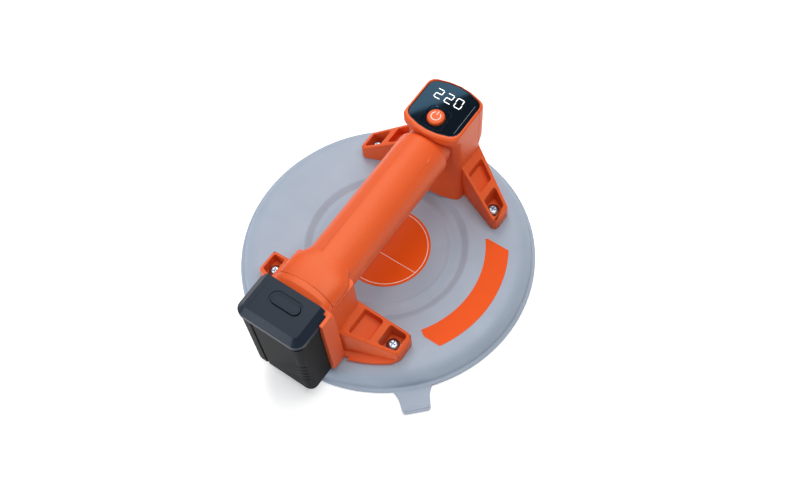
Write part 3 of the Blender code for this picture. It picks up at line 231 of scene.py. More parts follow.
def arc_plate(name, first, sweep, inner, width, low, thickness):
    """A flat part of a ring about the Z axis, left in edit mode with all of it chosen."""
    piece = single_corner(name, (inner * cos(first), inner * sin(first), low))
    bpy.ops.mesh.extrude_region_move(TRANSFORM_OT_translate={"value": (width * cos(first), width * sin(first), 0)})
    bpy.ops.mesh.select_all(action="SELECT")
    bpy.ops.mesh.spin(steps=48, angle=sweep, center=(0, 0, 0), axis=(0, 0, -1))
    bpy.ops.mesh.select_all(action="SELECT")
    bpy.ops.mesh.extrude_region_move(TRANSFORM_OT_translate={"value": (0, 0, thickness)})
    bpy.ops.mesh.select_all(action="SELECT")
    return piece


def face_outwards():
    """Turns every face of the piece in edit mode outwards, and goes back to object mode."""
    bpy.ops.mesh.normals_make_consistent(inside=False)
    bpy.ops.object.mode_set(mode="OBJECT")


def smooth(piece, angle=35):
    """Shades the piece smooth, with its edges sharper than the angle kept."""
    only(piece)
    bpy.ops.object.shade_smooth_by_angle(angle=radians(angle))


def moved_copy(piece, name, move):
    """A copy with its own mesh, moved by a vector."""
    only(piece)
    bpy.ops.object.duplicate()
    made = newest(name)
    for key in list(made.keys()):
        del made[key]
    bpy.ops.transform.translate(value=move)
    settle(made)
    return made


# Finishes

def linear(code):
    """A sRGB hex colour as linear values."""
    parts = [int(code[i:i + 2], 16) / 255 for i in (0, 2, 4)]
    return (*[p / 12.92 if p <= 0.04045 else ((p + 0.055) / 1.055) ** 2.4 for p in parts], 1.0)


def add(tree, kind, links=None, **settings):
    """Adds a node, gives it its settings, and links or sets its inputs."""
    made = tree.nodes.new(kind)
    for key, value in settings.items():
        setattr(made, key, value)
    for socket, source in (links or {}).items():
        if isinstance(source, bpy.types.NodeSocket):
            tree.links.new(source, made.inputs[socket])
        else:
            made.inputs[socket].default_value = source
    return made


def start(name, colour, **sockets):
    """A new material, its node tree, its shader, and the piece's own coordinates."""
    look = bpy.data.materials.new(name)
    look.use_nodes = True
    look.diffuse_color = linear(colour)
    tree = look.node_tree
    shader = tree.nodes["Principled BSDF"]
    shader.inputs["Base Color"].default_value = linear(colour)
    for key, value in sockets.items():
        shader.inputs[key.replace("_", " ")].default_value = value
    coords = add(tree, "ShaderNodeTexCoord").outputs["Object"]
    return look, tree, shader, coords


def speckle(tree, coords, size):
    """Noise with lumps of a real size in metres."""
    return add(tree, "ShaderNodeTexNoise", {"Vector": coords, "Scale": 1 / size, "Detail": 2.0, "Roughness": 0.55})


def blend_colours(tree, shader, factor, first, second):
    """The shader's colour, going from one hex colour to another."""
    mix = add(tree, "ShaderNodeMix", {"Factor": factor}, data_type="RGBA")
    mix.inputs["A"].default_value = linear(first)
    mix.inputs["B"].default_value = linear(second)
    tree.links.new(mix.outputs["Result"], shader.inputs["Base Color"])
    return mix


def vary_roughness(tree, shader, factor, low, high):
    """The shader's roughness, going from one value to another."""
    spread = add(tree, "ShaderNodeMapRange", {"Value": factor, "To Min": low, "To Max": high})
    tree.links.new(spread.outputs["Result"], shader.inputs["Roughness"])


def relief(tree, shader, height, depth, strength=1.0):
    """Bump of a real depth in metres."""
    bump = add(tree, "ShaderNodeBump", {"Height": height, "Distance": depth, "Strength": strength})
    tree.links.new(bump.outputs["Normal"], shader.inputs["Normal"])


def spark_eroded_abs(name, colour, shade, roughness, gloss, tint=(1.0, 1.0, 1.0, 1.0), grain=0.0005):
    """Injection-moulded ABS from a spark-eroded mould: a satin skin whose 0.1 mm grain is drawn coarser to show."""
    look, tree, shader, coords = start(name, colour, Roughness=roughness, IOR=1.54, Specular_IOR_Level=gloss,
                                       Specular_Tint=tint)
    flow = speckle(tree, coords, 0.030)
    blend_colours(tree, shader, flow.outputs["Fac"], shade, colour)
    skin = speckle(tree, coords, grain)
    vary_roughness(tree, shader, skin.outputs["Fac"], roughness - 0.05, roughness + 0.05)
    relief(tree, shader, skin.outputs["Fac"], 0.00002, 0.35)
    return look


def moulded_rubber(name, colour, shade, roughness):
    """Compression-moulded rubber: matte, a little cloudy, with dust caught on it as pale specks 0.4 mm across."""
    look, tree, shader, coords = start(name, colour, Roughness=roughness, IOR=1.5, Specular_IOR_Level=0.3)
    cloud = speckle(tree, coords, 0.022)
    base = blend_colours(tree, shader, cloud.outputs["Fac"], shade, colour)
    dust = add(tree, "ShaderNodeTexVoronoi", {"Vector": coords, "Scale": 1 / 0.011, "Randomness": 1.0})
    speck = add(tree, "ShaderNodeMapRange", {"Value": dust.outputs["Distance"], "From Min": 0.018,
                                             "From Max": 0.030, "To Min": 0.30, "To Max": 0.0})
    top = add(tree, "ShaderNodeMix", {"Factor": speck.outputs["Result"]}, data_type="RGBA")
    tree.links.new(base.outputs["Result"], top.inputs["A"])
    top.inputs["B"].default_value = linear("EEF1F4")
    tree.links.new(top.outputs["Result"], shader.inputs["Base Color"])
    grain = speckle(tree, coords, 0.0009)
    vary_roughness(tree, shader, grain.outputs["Fac"], roughness - 0.06, roughness + 0.06)
    relief(tree, shader, grain.outputs["Fac"], 0.00003, 0.3)
    return look


def polished_acrylic(name, colour, shade):
    """Smoked acrylic window, polished: nearly black, mirrors the lamps in blue, and shows faint wiping marks."""
    look, tree, shader, coords = start(name, colour, Roughness=0.05, IOR=1.49, Specular_Tint=(0.22, 0.60, 1.0, 1.0))
    wiped = add(tree, "ShaderNodeTexNoise", {"Vector": coords, "Scale": 1 / 0.004, "Detail": 4.0})
    blend_colours(tree, shader, wiped.outputs["Fac"], colour, shade)
    vary_roughness(tree, shader, wiped.outputs["Fac"], 0.02, 0.06)
    return look


def plated_steel(name, colour, roughness):
    """Steel with bright zinc: cool, mirror-like, with the cloudy spangle of the bath about 2 mm across."""
    look, tree, shader, coords = start(name, colour, Roughness=roughness, Metallic=1.0)
    bath = speckle(tree, coords, 0.002)
    blend_colours(tree, shader, bath.outputs["Fac"], "AEB6C4", colour)
    vary_roughness(tree, shader, bath.outputs["Fac"], roughness - 0.06, roughness + 0.08)
    scratch = speckle(tree, coords, 0.0004)
    relief(tree, shader, scratch.outputs["Fac"], 0.00001, 0.4)
    return look


def turned_metal(name, colour, shade, roughness, pitch=0.0006):
    """Metal from the lathe or the rolling mill: fine rings or lines about the piece's axis."""
    look, tree, shader, coords = start(name, colour, Roughness=roughness, Metallic=1.0)
    rings = add(tree, "ShaderNodeTexWave", {"Vector": coords, "Scale": 0.16 / pitch, "Distortion": 0.6},
                wave_type="RINGS", rings_direction="Z")
    blend_colours(tree, shader, rings.outputs["Fac"], shade, colour)
    vary_roughness(tree, shader, rings.outputs["Fac"], roughness, roughness + 0.10)
    relief(tree, shader, rings.outputs["Fac"], 0.00001, 0.3)
    return look


def vinyl_label(name):
    """Printed vinyl film: flat orange ink under a satin laminate, with a thin pale ring and one line across it."""
    ring_radius, line_x, ring_half, line_half = 0.0302, -0.0062, 0.00028, 0.00022
    look, tree, shader, coords = start(name, "E8540F", Roughness=0.40, IOR=1.5, Specular_IOR_Level=0.1)
    parts = add(tree, "ShaderNodeSeparateXYZ", {"Vector": coords})
    flat = add(tree, "ShaderNodeCombineXYZ", {"X": parts.outputs["X"], "Y": parts.outputs["Y"]})
    away = add(tree, "ShaderNodeVectorMath", {0: flat.outputs["Vector"]}, operation="LENGTH").outputs["Value"]
    ring = add(tree, "ShaderNodeMath", {0: away, 1: ring_radius, 2: ring_half},
               operation="COMPARE").outputs["Value"]
    bar = add(tree, "ShaderNodeMath", {0: parts.outputs["X"], 1: line_x, 2: line_half},
              operation="COMPARE")
    inside = add(tree, "ShaderNodeMath", {0: away, 1: ring_radius}, operation="LESS_THAN").outputs["Value"]
    chord = add(tree, "ShaderNodeMath", {0: bar.outputs["Value"], 1: inside}, operation="MULTIPLY").outputs["Value"]
    drawn = add(tree, "ShaderNodeMath", {0: ring, 1: chord}, operation="MAXIMUM").outputs["Value"]
    soft = add(tree, "ShaderNodeMath", {0: drawn, 1: 0.85}, operation="MULTIPLY").outputs["Value"]
    blend_colours(tree, shader, soft, "E8540F", "F7E3D8")
    film = speckle(tree, coords, 0.0012)
    relief(tree, shader, film.outputs["Fac"], 0.00002, 0.15)
    return look


def lit_segment(name):
    """A light-emitting segment behind the window: an even, cool white glow."""
    look, tree, shader, coords = start(name, "FFFFFF", Roughness=0.5, Emission_Strength=1.0)
    glow = speckle(tree, coords, 0.003)
    mix = add(tree, "ShaderNodeMix", {"Factor": glow.outputs["Fac"]}, data_type="RGBA")
    mix.inputs["A"].default_value = linear("F2F6FF")
    mix.inputs["B"].default_value = linear("FFFFFF")
    tree.links.new(mix.outputs["Result"], shader.inputs["Emission Color"])
    return look


def ink_and_painted_highlight(name, colour, shade):
    """Pad-printed ink, and the same flat matte film used as a painted highlight: thin, matte, with a slightly
    uneven edge to its cover.
    """
    look, tree, shader, coords = start(name, colour, Roughness=0.5, IOR=1.5)
    cover = speckle(tree, coords, 0.0006)
    blend_colours(tree, shader, cover.outputs["Fac"], shade, colour)
    return look


def fibreglass_board(name):
    """Glass-epoxy circuit board under green solder mask: satin, with the weave's 0.5 mm squares just showing."""
    look, tree, shader, coords = start(name, "1C6B3C", Roughness=0.4, IOR=1.5)
    weave = add(tree, "ShaderNodeTexChecker", {"Vector": coords, "Scale": 1 / 0.0005})
    blend_colours(tree, shader, weave.outputs["Fac"], "1C6B3C", "23774A")
    return look


ORANGE = spark_eroded_abs("moulded_orange_abs", "E45C28", "DE5523", 0.46, 0.45, (1.0, 0.85, 0.60, 1.0))
BLACK = spark_eroded_abs("moulded_black_abs", "232426", "1C1D1E", 0.60, 0.06, grain=0.0007)
NAVY = spark_eroded_abs("moulded_navy_abs", "232D3B", "1F2835", 0.36, 0.12)
RUBBER = moulded_rubber("moulded_grey_rubber", "A5B1C1", "98A4B5", 0.50)
DARK_RUBBER = moulded_rubber("moulded_black_rubber", "333437", "2C2D30", 0.65)
SILICONE = moulded_rubber("moulded_white_silicone", "D8DADB", "CDD0D1", 0.45)
WINDOW = polished_acrylic("polished_smoked_acrylic", "07090D", "0A0C11")
ZINC = plated_steel("bright_zinc_steel", "8F95A2", 0.28)
ALUMINIUM = turned_metal("turned_aluminium", "C8CACD", "BBBDC1", 0.32)
COPPER = turned_metal("stamped_copper_alloy", "D9A066", "C98E55", 0.28)
CELL_FILM = spark_eroded_abs("shrink_film_blue", "2F6FA8", "2A659B", 0.35, 0.5)
BOARD = fibreglass_board("fibreglass_board_green")
LABEL = vinyl_label("printed_vinyl_orange")
GLOW = lit_segment("lit_display_white")
INK = ink_and_painted_highlight("printed_ink_white", "F6E4E0", "F0D8D2")
# Painted highlight: this pale grey stands in for the light caught on the window's edge, and is not ink.
PAINTED_EDGE_HIGHLIGHT = ink_and_painted_highlight("painted_edge_highlight_grey", "8B97A6", "7F8B9A")

SLOT_LOOKS = {
    "orange_abs": ORANGE, "grey_rubber": RUBBER, "dark_rubber": DARK_RUBBER, "black_plastic": BLACK,
    "navy_plastic": NAVY, "glossy_panel": WINDOW, "circuit_board": BOARD, "zinc_steel": ZINC,
    "aluminium": ALUMINIUM, "copper_alloy": COPPER, "cell_wrap": CELL_FILM, "white_silicone": SILICONE,
}


def finish_solids():
    """Every solid takes the finish of its own slot."""
    for row in frame["record"]["subparts"]:
        node = NODES[row["node"]]
        node.data.materials.clear()
        node.data.materials.append(SLOT_LOOKS[row["material_slot"]])


# The pad

def pad():
    """The rubber pad with soft edges, its lip and its tab."""
    low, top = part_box("suction_pad")[0][2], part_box("suction_pad")[1][2]
    ledge, rim_edge, rim_round, lip_edge = 0.0029, 0.0928, 0.0118, 0.1073
    dish = top - DISH_DEPTH
    middle = dish + ISLAND_RISE
    path = [(0, middle, 0, 0), (0.0440, middle, 0.0030, 4), (0.0462, middle + 0.0004, 0.0030, 4)]
    path += [(0.0484, middle, 0.0020, 4), (0.0511, dish, 0.0040, 4), (0.0545, dish, 0.0030, 5)]
    path += [(0.0592, top, 0.0034, 6), (rim_edge, top, 0.0, 0)]
    for k in range(1, 12):
        turn = k * pi / 24
        path.append((rim_edge + rim_round * sin(turn), ledge + (top - ledge) * cos(turn), 0, 0))
    path += [(0.1046, ledge, 0.0012, 5), (lip_edge, 0.0026, 0.0009, 3), (lip_edge, low, 0.0007, 3)]
    path += [(0.1017, low, 0.0006, 3), (0.1003, ledge, 0.0006, 3), (rim_edge, ledge, 0.0006, 3)]
    path += [(0.0918, 0.0007, 0.0004, 3), (0.0883, 0.0007, 0, 0), (0.0883, 0.0096, 0, 0), (0, 0.0096, 0, 0)]
    piece = lathe("pad_rubber", fillet(path), 192)
    tab = tab_shape()
    fuse(piece, tab)
    for x in (-SCREW_X, SCREW_X):
        for y in (-SCREW_Y, SCREW_Y):
            cut_out(piece, disc("screw_passage", 0.0028, 0.005, 0.02, (x, y), 24))
    cut_out(piece, disc("inlet_passage", 0.0033, 0.005, 0.02, (0.0740, 0), 24))
    smooth(piece, 40)
    place(piece, RUBBER, "base", ["suction_pad"])


def tab_shape():
    """The pull tab: a block whose root is spread, whose end is narrowed and whose tip carries a bead."""
    angle, waist, spread, narrowed = radians(-135.4), 0.1110, 1.55, 0.84
    tip_round, waist_round = 0.0022, 0.0030
    piece = box("pull_tab", (0.1040, -0.0095, 0.0005), (0.1235, 0.0095, 0.0024))
    pick(piece, lambda middle, normal: normal.x < -0.9)
    bpy.ops.transform.resize(value=(1, spread, 1))
    bpy.ops.mesh.select_all(action="SELECT")
    bpy.ops.mesh.bisect(plane_co=(waist, 0, 0), plane_no=(1, 0, 0))
    pick(piece, lambda corner, normal: abs(corner.x - waist) < 0.001, "VERT")
    bpy.ops.transform.resize(value=(1, narrowed, 1))
    pick(piece, lambda middle, along: abs(along.z) > 0.9 and middle.x > 0.12, "EDGE")
    bpy.ops.mesh.bevel(offset=tip_round, segments=5)
    pick(piece, lambda middle, along: abs(along.z) > 0.9 and abs(middle.x - waist) < 0.001, "EDGE")
    bpy.ops.mesh.bevel(offset=waist_round, segments=5)
    bpy.ops.object.mode_set(mode="OBJECT")
    bead = box("tab_bead", (0.1200, -0.0084, 0.0012), (0.1222, 0.0084, 0.0030))
    break_edges(bead, 0.0006, 3)
    fuse(piece, bead)
    only(piece)
    bpy.ops.transform.rotate(value=-angle, orient_axis="Z", center_override=(0, 0, 0))
    settle(piece)
    return piece


def labels():
    """The bare round label in the dish and the bare arc label on the rim's flat."""
    film, lift, arc_end = 0.0002, 0.00002, 0.0440
    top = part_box("suction_pad")[1][2]
    middle = top - DISH_DEPTH + ISLAND_RISE
    round_label = disc("centre_label", 0.0322, middle + lift, middle + lift + film, sides=128)
    place(round_label, LABEL, "base")
    arc = arc_plate("arc_label", radians(-125), radians(72), 0.0715, 0.0163, top + lift, film)
    for side in (-1, 1):
        bpy.ops.mesh.bisect(plane_co=(side * arc_end, 0, 0), plane_no=(side, 0, 0), clear_outer=True, use_fill=True)
        bpy.ops.mesh.select_all(action="SELECT")
    face_outwards()
    place(arc, LABEL, "base")


# Orange housings

# The inner and the outer edge of a foot's top: x at its root and x at its tip
FOOT_EDGES = {"front_leg": ((0.0670, 0.0508), (0.0900, 0.0685)),
              "rear_leg": ((0.0575, 0.0512), (0.0845, 0.0692))}
FOOT_ROOT, FOOT_TIP, FOOT_HEIGHT = 0.0210, 0.0600, 0.0473
FOOT_SLOPE = radians(28.64)
FOOT_ROUND = 0.0013
POCKET_X, POCKET_Y, POCKET_FLOOR, POCKET_LIFT = 0.0720, 0.03375, 0.0268, 0.0055
POCKET_NEAR, POCKET_FAR = 0.026, 0.042
# Two corners, the turn in degrees and the pivot of each block that trims the flange
TIP_TRIM = ((0.0647, 0.0579), (0.0787, 0.0639), 29.05, (0.0717, 0.0609))
EDGE_TRIM = ((0.0740, 0.0360), (0.0830, 0.0670), -28.9, (0.0732, 0.0515))


def foot_top(y):
    """Height of a foot's sloping top at a distance from the grip's plane."""
    return FOOT_HEIGHT - tan(FOOT_SLOPE) * (abs(y) - FOOT_ROOT)


def on_foot_rim(node, middle):
    """Whether a place lies on the outer edge of a foot's sloping top."""
    share = (abs(middle.y) - FOOT_ROOT) / (FOOT_TIP - FOOT_ROOT)
    if share < 0.06 or abs(middle.z - foot_top(middle.y)) > 0.0003:
        return False
    inner, outer = [near + (far - near) * share for near, far in FOOT_EDGES[node]]
    return min(abs(abs(middle.x) - inner), abs(outer - abs(middle.x)), FOOT_TIP - abs(middle.y)) < FOOT_ROUND


def flange_cutter(low, high, turn, pivot, x_side, y_side):
    """A block at the height of the flange, turned about a pivot and mirrored to one of the four feet."""
    cutter = box("flange_cutter", (*low, FLANGE_LOW), (*high, FLANGE_HIGH))
    only(cutter)
    bpy.ops.transform.rotate(value=radians(turn), orient_axis="Z", center_override=(*pivot, 0))
    settle(cutter)
    bpy.ops.transform.resize(value=(x_side, y_side, 1), center_override=(0, 0, 0))
    settle(cutter)
    bpy.ops.object.mode_set(mode="EDIT")
    bpy.ops.mesh.select_all(action="SELECT")
    face_outwards()
    return cutter


def shape_feet(piece, node):
    """Rounds the feet's upper rims, lifts the blind pockets' floors and takes off the flange's corners."""
    x_side = 1 if node == "front_leg" else -1
    for y_side in (-1, 1):
        cut_out(piece, flange_cutter(*TIP_TRIM, x_side, y_side))
        if node == "front_leg":
            cut_out(piece, flange_cutter(*EDGE_TRIM, x_side, y_side))
        pick(piece, lambda middle, normal: normal.z > 0.99 and abs(middle.z - POCKET_FLOOR) < 0.0003
             and POCKET_NEAR < y_side * middle.y < POCKET_FAR)
        spot = (x_side * POCKET_X, y_side * POCKET_Y, POCKET_FLOOR)
        bpy.ops.transform.resize(value=(1, 1 / cos(FOOT_SLOPE), 1), center_override=spot)
        bpy.ops.transform.rotate(value=y_side * FOOT_SLOPE, orient_axis="X", center_override=spot)
        bpy.ops.transform.translate(value=(0, 0, POCKET_LIFT))
        bpy.ops.object.mode_set(mode="OBJECT")
    pick(piece, lambda middle, along: on_foot_rim(node, middle), "EDGE")
    bpy.ops.mesh.bevel(offset=FOOT_ROUND, segments=4)
    bpy.ops.object.mode_set(mode="OBJECT")


def housings():
    """The moulded housings, each with its edges broken as the mould leaves them."""
    for node, edge in (("front_leg", 0.0007), ("rear_leg", 0.0007), ("handle_shell", 0.0005),
                       ("grip_cover", 0.0004), ("head_cover", 0.0004), ("battery_dock", 0.0006)):
        piece = finished_copy(node, node + "_moulding")
        if node in FOOT_EDGES:
            shape_feet(piece, node)
        if node == "front_leg":
            cut_out(piece, recess_cutter())
        if node == "battery_dock":
            cut_out(piece, box("rail_end", (-0.0985, 0.0200, 0.0810), (-0.0902, 0.0290, 0.0900)))
        break_edges(piece, edge, 3)
        if node == "head_cover":
            cut_out(piece, recess_cutter())
            smooth(piece)
            apply_step(piece, "WEIGHTED_NORMAL", keep_sharp=True)
        place(piece, ORANGE, "base", [node])


def recess_cutter():
    """The space that the widened window needs, with its clearance, open at the top."""
    clearance, open_top = 0.0003, 0.002
    recess = widened_pane("recess_cutter", clearance)
    pick(recess, lambda middle, normal: normal.z > 0.9)
    bpy.ops.transform.translate(value=(0, 0, open_top))
    pick(recess, lambda middle, normal: normal.z < -0.9)
    bpy.ops.transform.translate(value=(0, 0, -clearance))
    bpy.ops.object.mode_set(mode="OBJECT")
    return recess


def widened_pane(name, grow):
    """The window's plate, drawn out to a thin rim at its sides and front, and grown by a clearance."""
    piece = finished_copy("display_window", name)
    centre, half_length, half_width, drawn_half_width = (0.0771, 0, 0.0883), 0.0200, 0.0188, 0.0203
    button_ring, front_half, forward = 0.0085, 0.078, 0.0015
    pick(piece, lambda corner, normal: (corner.xy - Vector(BUTTON_SPOT)).length > button_ring, "VERT")
    bpy.ops.transform.resize(value=(1 + grow / half_length, (drawn_half_width + grow) / half_width, 1),
                             center_override=centre)
    pick(piece, lambda corner, normal: corner.x > front_half, "VERT")
    bpy.ops.transform.translate(value=(forward, 0, 0))
    bpy.ops.object.mode_set(mode="OBJECT")
    return piece


# Screws

def foot_fasteners():
    """One pan-head screw and one washer, modelled once and copied to the other feet."""
    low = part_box("foot_screw_front_left")[0][2]
    washer_low, washer_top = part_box("foot_washer_front_left")[0][2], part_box("foot_washer_front_left")[1][2]
    under = washer_top + 0.0003
    head = under + 0.0032
    shank, rim, bore, outer = 0.0025, 0.0047, 0.0028, 0.0052
    spot = (SCREW_X, SCREW_Y)
    path = [(0, low, 0, 0), (0.0022, low, 0, 0), (shank, low + 0.0005, 0, 0), (shank, under, 0, 0),
            (rim, under, 0.0003, 3), (rim, head - 0.0012, 0.0014, 6), (0.0026, head, 0.0020, 5), (0, head, 0, 0)]
    screw = lathe("pan_screw_front_left", fillet(path), 64, spot)
    for length, width in ((0.0050, 0.0010), (0.0010, 0.0050)):
        bar = box("cross", (SCREW_X - length / 2, SCREW_Y - width / 2, head - 0.0018),
                  (SCREW_X + length / 2, SCREW_Y + width / 2, head + 0.001))
        pick(bar, lambda middle, normal: normal.z < -0.9)
        bpy.ops.transform.resize(value=(0.6, 0.6, 1))
        bpy.ops.object.mode_set(mode="OBJECT")
        cut_out(screw, bar)
    only(screw)
    bpy.ops.transform.rotate(value=radians(24), orient_axis="Z", center_override=(SCREW_X, SCREW_Y, 0))
    settle(screw)
    smooth(screw, 32)
    path = [(bore, washer_low, 0, 0), (outer, washer_low, 0.0002, 2), (outer, washer_top, 0.0003, 3),
            (bore, washer_top, 0, 0), (bore, washer_low, 0, 0)]
    ring = lathe("plain_washer_front_left", fillet(path), 64, spot)
    smooth(ring, 32)
    for end, x in (("front", SCREW_X), ("rear", -SCREW_X)):
        for hand, y in (("left", SCREW_Y), ("right", -SCREW_Y)):
            if (end, hand) == ("front", "left"):
                continue
            move = (x - SCREW_X, y - SCREW_Y, 0)
            copy = moved_copy(screw, f"pan_screw_{end}_{hand}", move)
            only(copy)
            bpy.ops.transform.rotate(value=radians(31 if hand == "left" else 67), orient_axis="Z",
                                     center_override=(x, y, 0))
            place(copy, ZINC, "base", [f"foot_screw_{end}_{hand}"])
            place(moved_copy(ring, f"plain_washer_{end}_{hand}", move), ZINC, "base",
                  [f"foot_washer_{end}_{hand}"])
    place(screw, ZINC, "base", ["foot_screw_front_left"])
    place(ring, ZINC, "base", ["foot_washer_front_left"])


# Display head

def window():
    """The polished window, the raised line round its button, and a painted highlight along one edge."""
    pane = widened_pane("window_pane", 0.0)
    break_edges(pane, 0.0005, 3)
    place(pane, WINDOW, "base", ["display_window"])
    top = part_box("display_window")[1][2]
    rise, corner_round, line_width, slope, drop = 0.0005, 0.0036, 0.0005, 0.0003, 0.0004
    frame_piece = box("button_frame", (0.0588, -0.0090, top - 0.0001), (0.0772, 0.0090, top + rise))
    pick(frame_piece, lambda middle, along: abs(along.z) > 0.9, "EDGE")
    bpy.ops.mesh.bevel(offset=corner_round, segments=8)
    bpy.ops.object.mode_set(mode="OBJECT")
    pick(frame_piece, lambda middle, normal: normal.z > 0.9)
    bpy.ops.mesh.inset(thickness=line_width)
    bpy.ops.mesh.inset(thickness=slope)
    bpy.ops.transform.translate(value=(0, 0, -drop))
    bpy.ops.object.mode_set(mode="OBJECT")
    cut_out(frame_piece, disc("button_gap", 0.0066, top - 0.01, top + 0.01, BUTTON_SPOT, 64))
    break_edges(frame_piece, 0.0002, 2)
    place(frame_piece, WINDOW, "base")
    # Painted highlight: a thin pale strip on the window stands in for the light caught by its bevelled edge.
    line = box("painted_highlight_strip", (0.0640, -0.0174, top), (0.0905, -0.0172, top + 0.00008))
    place(line, PAINTED_EDGE_HIGHLIGHT, "base")


def segment(name, centre, length, upright):
    """One stroke of a digit: a thin bar with pointed ends."""
    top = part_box("display_window")[1][2]
    width, height = 0.00054, 0.00010
    piece = box(name, (centre[0] - width / 2, centre[1] - length / 2, top),
                (centre[0] + width / 2, centre[1] + length / 2, top + height))
    pick(piece, lambda middle, along: abs(along.z) > 0.9, "EDGE")
    bpy.ops.mesh.bevel(offset=width * 0.42, segments=1)
    bpy.ops.object.mode_set(mode="OBJECT")
    if upright:
        only(piece)
        bpy.ops.transform.rotate(value=pi / 2, orient_axis="Z", center_override=(centre[0], centre[1], 0))
    settle(piece)
    return piece


def digits():
    """The plain seven-segment number, drawn with its tops towards the front."""
    tall, wide, gap, lean = 0.0038, 0.0050, 0.0005, 0.0005
    row_x = 0.0864
    strokes = {
        "a": (tall, 0, False), "g": (0, 0, False), "d": (-tall, 0, False),
        "f": (tall / 2, wide / 2, True), "b": (tall / 2, -wide / 2, True),
        "e": (-tall / 2, wide / 2, True), "c": (-tall / 2, -wide / 2, True),
    }
    for k, (number, y) in enumerate((("abged", 0.0095), ("abged", 0.0013), ("abcdef", -0.0067))):
        for letter in number:
            dx, dy, upright = strokes[letter]
            length = (tall if upright else wide) - gap
            spot = (row_x + dx, y + dy + lean * dx / tall)
            place(segment(f"digit_{k + 1}_{letter}", spot, length, upright), GLOW, "base")


def power_button():
    """The domed button, and the ring and stroke that stand just proud of its crown."""
    low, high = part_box("power_button")
    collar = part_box("display_window")[0][2] - 0.0003
    crown = high[2] - 0.00012
    stem, collar_radius, cap, ink = 0.0018, 0.0074, 0.0062, 0.00008
    path = [(0, low[2], 0, 0), (stem, low[2], 0, 0), (stem, collar - 0.0010, 0, 0),
            (collar_radius, collar - 0.0010, 0, 0), (collar_radius, collar, 0, 0), (cap, collar, 0, 0),
            (cap, crown, 0.0013, 8), (0, crown, 0, 0)]
    piece = lathe("power_button_cap", fillet(path), 96, BUTTON_SPOT)
    smooth(piece, 40)
    place(piece, ORANGE, "power_key", ["power_button"])
    ring = arc_plate("power_ring", radians(32), radians(296), 0.0030, 0.0006, crown, ink)
    face_outwards()
    ring.location = (*BUTTON_SPOT, 0)
    place(ring, INK, "power_key")
    stroke = box("power_stroke", (BUTTON_SPOT[0] + 0.0010, -0.0003, crown),
                 (BUTTON_SPOT[0] + 0.0042, 0.0003, crown + ink))
    place(stroke, INK, "power_key")


# Battery

def battery_cap():
    """The cap: a block with rounded rear corners and a wide chamfer, whose lip hangs over the latch."""
    low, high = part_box("battery_cap")
    top, depth, corner_round, chamfer, wall = high[2], 0.0086, 0.0070, 0.0048, 0.0030
    cap = box("battery_cap_moulding", (low[0], -0.0245, top - depth), (-0.0880, 0.0273, top))
    pick(cap, lambda middle, along: abs(along.z) > 0.9 and middle.x < -0.11, "EDGE")
    bpy.ops.mesh.bevel(offset=corner_round, segments=8)
    pick(cap, lambda middle, along: middle.z > top - 0.0001 and middle.x < -0.0885, "EDGE")
    bpy.ops.mesh.bevel(offset=chamfer, segments=1)
    bpy.ops.object.mode_set(mode="OBJECT")
    for tool in (box("lip_space", (-0.0904, -0.0300, top - 0.0100), (-0.0870, 0.0300, top - wall)),
                 box("cap_hollow", (low[0] + wall, -0.0215, top - 0.0100), (-0.0929, 0.0243, top - 0.0040)),
                 box("latch_way", (-0.0960, -0.0064, top - 0.0056), (-0.0870, 0.0064, top - wall)),
                 slot_shape("button_hole", RELEASE_SPOT, 0.0082, 0.0223, top - 0.0050, top + 0.001),
                 slot_shape("flange_space", RELEASE_SPOT, 0.0106, 0.0247, top - 0.0050, top - 0.0026),
                 slot_shape("moat", RELEASE_SPOT, 0.0113, 0.0250, top - 0.0006, top + 0.001)):
        cut_out(cap, tool)
    fuse(cap, box("cap_bead", (-0.1130, 0.01905, top - 0.0002), (-0.0918, 0.01935, top + 0.00012)))
    break_edges(cap, 0.0005, 3)
    place(cap, NAVY, "battery", ["battery_cap"])


def release_button():
    """The oval button with its flange and a shallow dish for the thumb."""
    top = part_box("battery_cap")[1][2]
    button = slot_shape("release_button_moulding", RELEASE_SPOT, 0.0074, 0.0215, top - 0.0034, top + 0.0006)
    fuse(button, slot_shape("flange", RELEASE_SPOT, 0.0098, 0.0239, top - 0.0036, top - 0.0028))
    cut_out(button, slot_shape("dish", RELEASE_SPOT, 0.0052, 0.0190, top + 0.0004, top + 0.001))
    break_edges(button, 0.0003, 3)
    place(button, NAVY, "release_key", ["release_button"])


def battery_case():
    """The case, drawn up to the cap, with the groove in its rear and five finger scoops at each rear corner."""
    low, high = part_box("battery_case")
    rear, draw_up = low[0], 0.0036
    scoop_x, scoop_y, scoop_low, scoop_rise = -0.1289, 0.0286, 0.0340, 0.0052
    scoop_size = (0.014, 0.014, 0.0016)
    case = finished_copy("battery_case", "battery_case_moulding")
    pick(case, lambda middle, normal: normal.z > 0.99 and middle.z > high[2] - 0.0002)
    bpy.ops.transform.translate(value=(0, 0, draw_up))
    bpy.ops.object.mode_set(mode="OBJECT")
    cut_out(case, box("rear_groove", (rear - 0.001, 0.0126, low[2] - 0.001),
                      (rear + 0.0008, 0.0148, high[2] + 0.01)))
    for side in (-1, 1):
        for k in range(5):
            spot = (scoop_x, side * scoop_y, scoop_low + k * scoop_rise)
            bpy.ops.mesh.primitive_uv_sphere_add(segments=48, ring_count=24, radius=1, scale=scoop_size,
                                                 location=spot)
            scoop = newest("scoop")
            settle(scoop)
            cut_out(case, scoop)
    break_edges(case, 0.0004, 2)
    place(case, BLACK, "battery", ["battery_case"])


def slot_shape(name, centre, width, length, low, high):
    """A plate with round ends, long across the grip."""
    piece = box(name, (centre[0] - width / 2, centre[1] - length / 2, low),
                (centre[0] + width / 2, centre[1] + length / 2, high))
    pick(piece, lambda middle, along: abs(along.z) > 0.9, "EDGE")
    bpy.ops.mesh.bevel(offset=width * 0.495, segments=12)
    bpy.ops.object.mode_set(mode="OBJECT")
    settle(piece)
    return piece


# Underside

